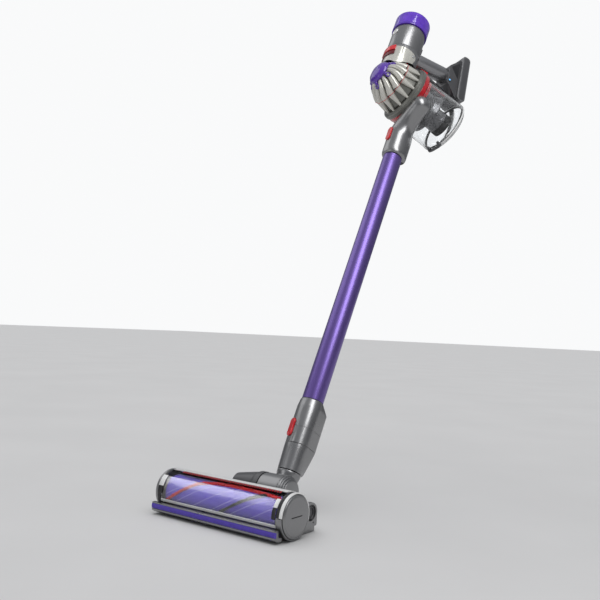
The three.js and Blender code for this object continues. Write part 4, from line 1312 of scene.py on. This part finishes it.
def make_motor():
    body = loop([(33, 236.6), (MOTOR_RADIUS, 236.6, 0.5), (MOTOR_RADIUS, 287, 0.5), (MOTOR_RADIUS, 292.9,
        0.5), (33, 292.9)], 0.4, 3)
    piece("motor_skin", turned_loop(body, 160), motor, "satin_grey", "handheld", ["motor_body_shell"])
    skirt = ring_shell(34.0, MOTOR_RADIUS, 186, 235.9, 0.3, 160)
    room = placed(turned([(0, -92), (30, -92), (36, -66), (45.5, -53), (53, -39), (57.6, -22), (57.6, -13),
        (60, -13), (60, 40), (0, 40)], 128), motor.matrix.inverted() @ bin_place.matrix)
    hole = cross_rod(SCREW_Y, SCREW_Z, 3.2, 25, 45, 0, 40)
    behind = prism_along_x([(-60, 240), (-60, 231), (-29, 230.6), (-12, 228.6), (0, 226.6), (8, 225.4),
        (13.2, 223.4), (15.8, 220), (16.3, 215.5), (14.4, 210), (12, 204), (11, 186), (60, 186), (60, 240)],
        -60, 60)
    sleeve = carved(ring_shell(31.4, 34.8, 186, 236.5, 0.2, 160), room.copy(), hole.copy())
    piece("motor_sleeve", sleeve, motor, "satin_grey")
    skirt = carved(skirt, room, hole, behind)
    piece("collar_skirt", skirt, motor, "warm_grey", "handheld", ["cyclone_collar"], bevel=0.3)
    centre = Vector((4.0, -35.2, 276))
    latch = hoop(centre, Vector((7, 0, 0)), Vector((0, 0, 3.8)), 32)
    # The latch loop is drawn in a lighter copy of satin grey: painted highlight.
    piece("filter_latch", swept(latch, [1.7, 1.7], 12), motor, "light_satin", slot="satin_grey", angle=60)
    head = cross_rod(SCREW_Y, SCREW_Z, 2.85, 32.4, 34.9, 0.4, 40)
    slot_cut = placed(prism(round_rect(0.5, 2.2, 0.3), 34.2, 36), shift(0, SCREW_Y, SCREW_Z) @ TO_X)
    cross = placed(prism(round_rect(2.2, 0.5, 0.3), 34.2, 36), shift(0, SCREW_Y, SCREW_Z) @ TO_X)
    piece("screw_head", carved(head, slot_cut, cross), motor, "steel", "handheld", ["collar_screw"])


def make_lever():
    span = math.radians(34)
    centre = -math.pi / 2
    bright = loop([(35.6, 218.5), (38.6, 218.5, 0.8), (38.6, 230.5, 1.2), (35.6, 230.5)], 0.4)
    grip_part = turned_loop(bright, 48, centre - span, centre + span)
    deep = loop([(35.6, 207.2), (37.0, 207.2, 0.8), (36.9, 218.1, 0.3), (35.6, 218.1)], 0.3, 3)
    recess = turned_loop(deep, 48, centre - span, centre + span)
    piece("lever_grip", grip_part, motor, "red_plastic", "bin_lever", ["bin_release_lever"], bevel=0.3)
    # The recess is drawn in a darker red than the grip: painted shade in the recess.
    piece("lever_recess", recess, motor, "lever_dark", "bin_lever", slot="dark_red", bevel=0.2)


def make_cap():
    shell = softened([(35.6, 293.8), (37.4, 293.8, 0.5), (37.4, 326.8, 3.2), (34.2, 330.9, 3), (14, 330.9,
        1), (12.6, 329.6, 0.5), (0, 329.4)] + [(0, 328.2), (31.6, 328.2, 3), (35.6, 324.5, 3)], 0.5, 6)
    piece("cap_shell", turned_loop(shell, 160), motor, "purple_clear", "post_filter", ["post_filter_cap"])
    louvres = []
    for k in range(LOUVRES):
        angle = TURN * k / LOUVRES
        fin = cuboid(30.2, 34.6, -0.5, 0.5, 316, 326.5)
        louvres.append(placed(fin, Matrix.Rotation(angle, 4, "Z")))
    piece("cap_louvres", together(*louvres), motor, "purple_deep", "post_filter", slot="purple_clear",
        bevel=0.15)
    band_ring = ring_shell(34.0, 37.5, 293.7, 299, 0.5, 160)
    piece("cap_band", band_ring, motor, "purple_deep", "post_filter", slot="purple_clear")
    rings = []
    for z in (295, 325.5):
        rings.append([((33 if i % 2 else 27) * math.cos(math.pi * i / PLEATS), (33 if i % 2 else 27) *
            math.sin(math.pi * i / PLEATS), z) for i in range(2 * PLEATS)])
    inner = ring_shell(17.6, 19, 295, 325.5, 0.2)
    piece("filter_pleats", together(lofted(rings), inner), motor, "filter_felt", "post_filter",
        ["post_filter_pleats"], angle=20)


# ---------------------------------------------------------------------------
# Handheld: handle, trigger and battery
# ---------------------------------------------------------------------------


def make_handle():
    profile = loop([(14.2, -30), (16.95, -30), (16.95, 92), (14.2, 92)], 0.4, 3)
    tube = turned_loop(profile, 128)
    slot_cut = placed(prism(round_rect(6.5, 9.6, 1.5), 5, 20), upright(0, 0, 11))
    motor_room = placed(rod(35.4, 150, 320, 0, 128), grip.matrix.inverted() @ motor.matrix)
    battery_room = placed(cuboid(-60, 60, -100, 100, -38.3, 60), grip.matrix.inverted() @ battery.matrix)
    tube = carved(tube, slot_cut, motor_room, battery_room)
    right = carved(tube.copy(), cuboid(-60, 0.12, -60, 60, -60, 140))
    left = carved(tube, cuboid(-0.12, 60, -60, 60, -60, 140))
    piece("handle_skin_right", right, grip, "handle_satin", "handheld", ["handle_right"], "dark_grey",
        bevel=0.2)
    piece("handle_skin_left", left, grip, "handle_satin", "handheld", ["handle_left"], "dark_grey",
        bevel=0.2)
    outline = loop([(2.2, 12), (19.8, 12), (19.8, 19, 2), (16, 22.6, 3), (9, 23.8, 4), (3.4, 22.6, 3), (2.2,
        19, 2)], 0.6, 5)
    trigger = placed(prism(outline, -5.9, 5.9), Matrix(((0, 0, 1, 0), (0, 1, 0, 0), (1, 0, 0, 0), (0, 0, 0,
        1))))
    piece("trigger_pad", trigger, grip, "red_plastic", "trigger", ["trigger"], bevel=0.8)


LAMP_Y, LAMP_Z = 19.8, -34


def make_battery():
    wedge = prism_along_x(loop([(-46.8, -11, 1.5), (-17, -37.9, 5), (28, -37.9, 6), (56.8, -11, 1.5)], 2,
        6), -20.9, 20.9)
    piece("wedge_skin", wedge, battery, "dark_grey", "handheld", ["battery_case"], bevel=1.2)
    inset = prism_along_x(loop([(-37, -13), (-15.5, -33.5), (7, -13)], 2, 5), 20.2, 21.15)
    piece("wedge_inset", inset, battery, "black_plastic", bevel=0.2)
    slab_outline = loop([(-57.9, -10.4, 9.8), (57.9, -10.4, 9.8), (57.9, 10.35, 9.8), (-57.9, 10.35, 9.8)],
        9.8, 10)
    slab = prism_along_x(slab_outline, -25.75, 25.75)
    socket = cuboid(-6, 6, 48, 60, -3.5, 3.5)
    piece("slab_skin", carved(slab, socket), battery, "slab_grey", "handheld", ["battery_base"],
        "dark_grey", bevel=1.1)
    inner = loop([(-54.5, -7, 6.6), (54.5, -7, 6.6), (54.5, 7, 6.6), (-54.5, 7, 6.6)], 6.6, 8)
    panels = together(prism_along_x(inner, 25.6, 25.95), prism_along_x(inner, -25.95, -25.6))
    piece("slab_panels", panels, battery, "dark_grey", bevel=0.1)
    lens = cross_rod(LAMP_Y, LAMP_Z, 2.15, 21.0, 22.1, 0.5, 32)
    piece("status_lens", lens, battery, "light_blue", "handheld", ["status_light"])
    bezel = placed(prism(round_rect(5.5, 3.2, 3.1), 20.6, 21.3), shift(0, LAMP_Y, LAMP_Z) @ TO_X)
    piece("status_bezel", bezel, battery, "black_plastic", bevel=0.15)


for make in (make_cover, make_comb, make_window, make_front, make_ends, make_roller, make_wheels, make_drums,
             make_saddle, make_neck, make_collar, make_wand, make_duct, make_cyclones, make_knob, make_bin,
             make_door, make_rail, make_motor, make_lever, make_cap, make_handle, make_battery):
    make()


def light_only(light_names, label, objects):
    """The named lights reach these objects and nothing else."""
    receivers = bpy.data.collections.new(label)
    for ob in objects:
        receivers.objects.link(ob)
    for name in light_names:
        bpy.data.objects[name].light_linking.receiver_collection = receivers


floor_object = bpy.data.objects["floor"]
solid = [ob for ob in bpy.data.objects if ob.type == "MESH" and ob != floor_object]
light_only(("strip", "overhead", "front"), "lit_pieces", solid)
light_only(("glare",), "lit_window", [bpy.data.objects["window_pane"]])
light_only(("card",), "lit_handle", [bpy.data.objects[n] for n in ("handle_skin_left",
    "handle_skin_right")])
light_only(("sky",), "lit_floor", [floor_object])

# The frame's own solids that stay in sight or inside take the finish of their slot
for name, ob in frame["nodes"].items():
    ob.data.materials.clear()
    ob.data.materials.append(finishes[node_slot[name]])
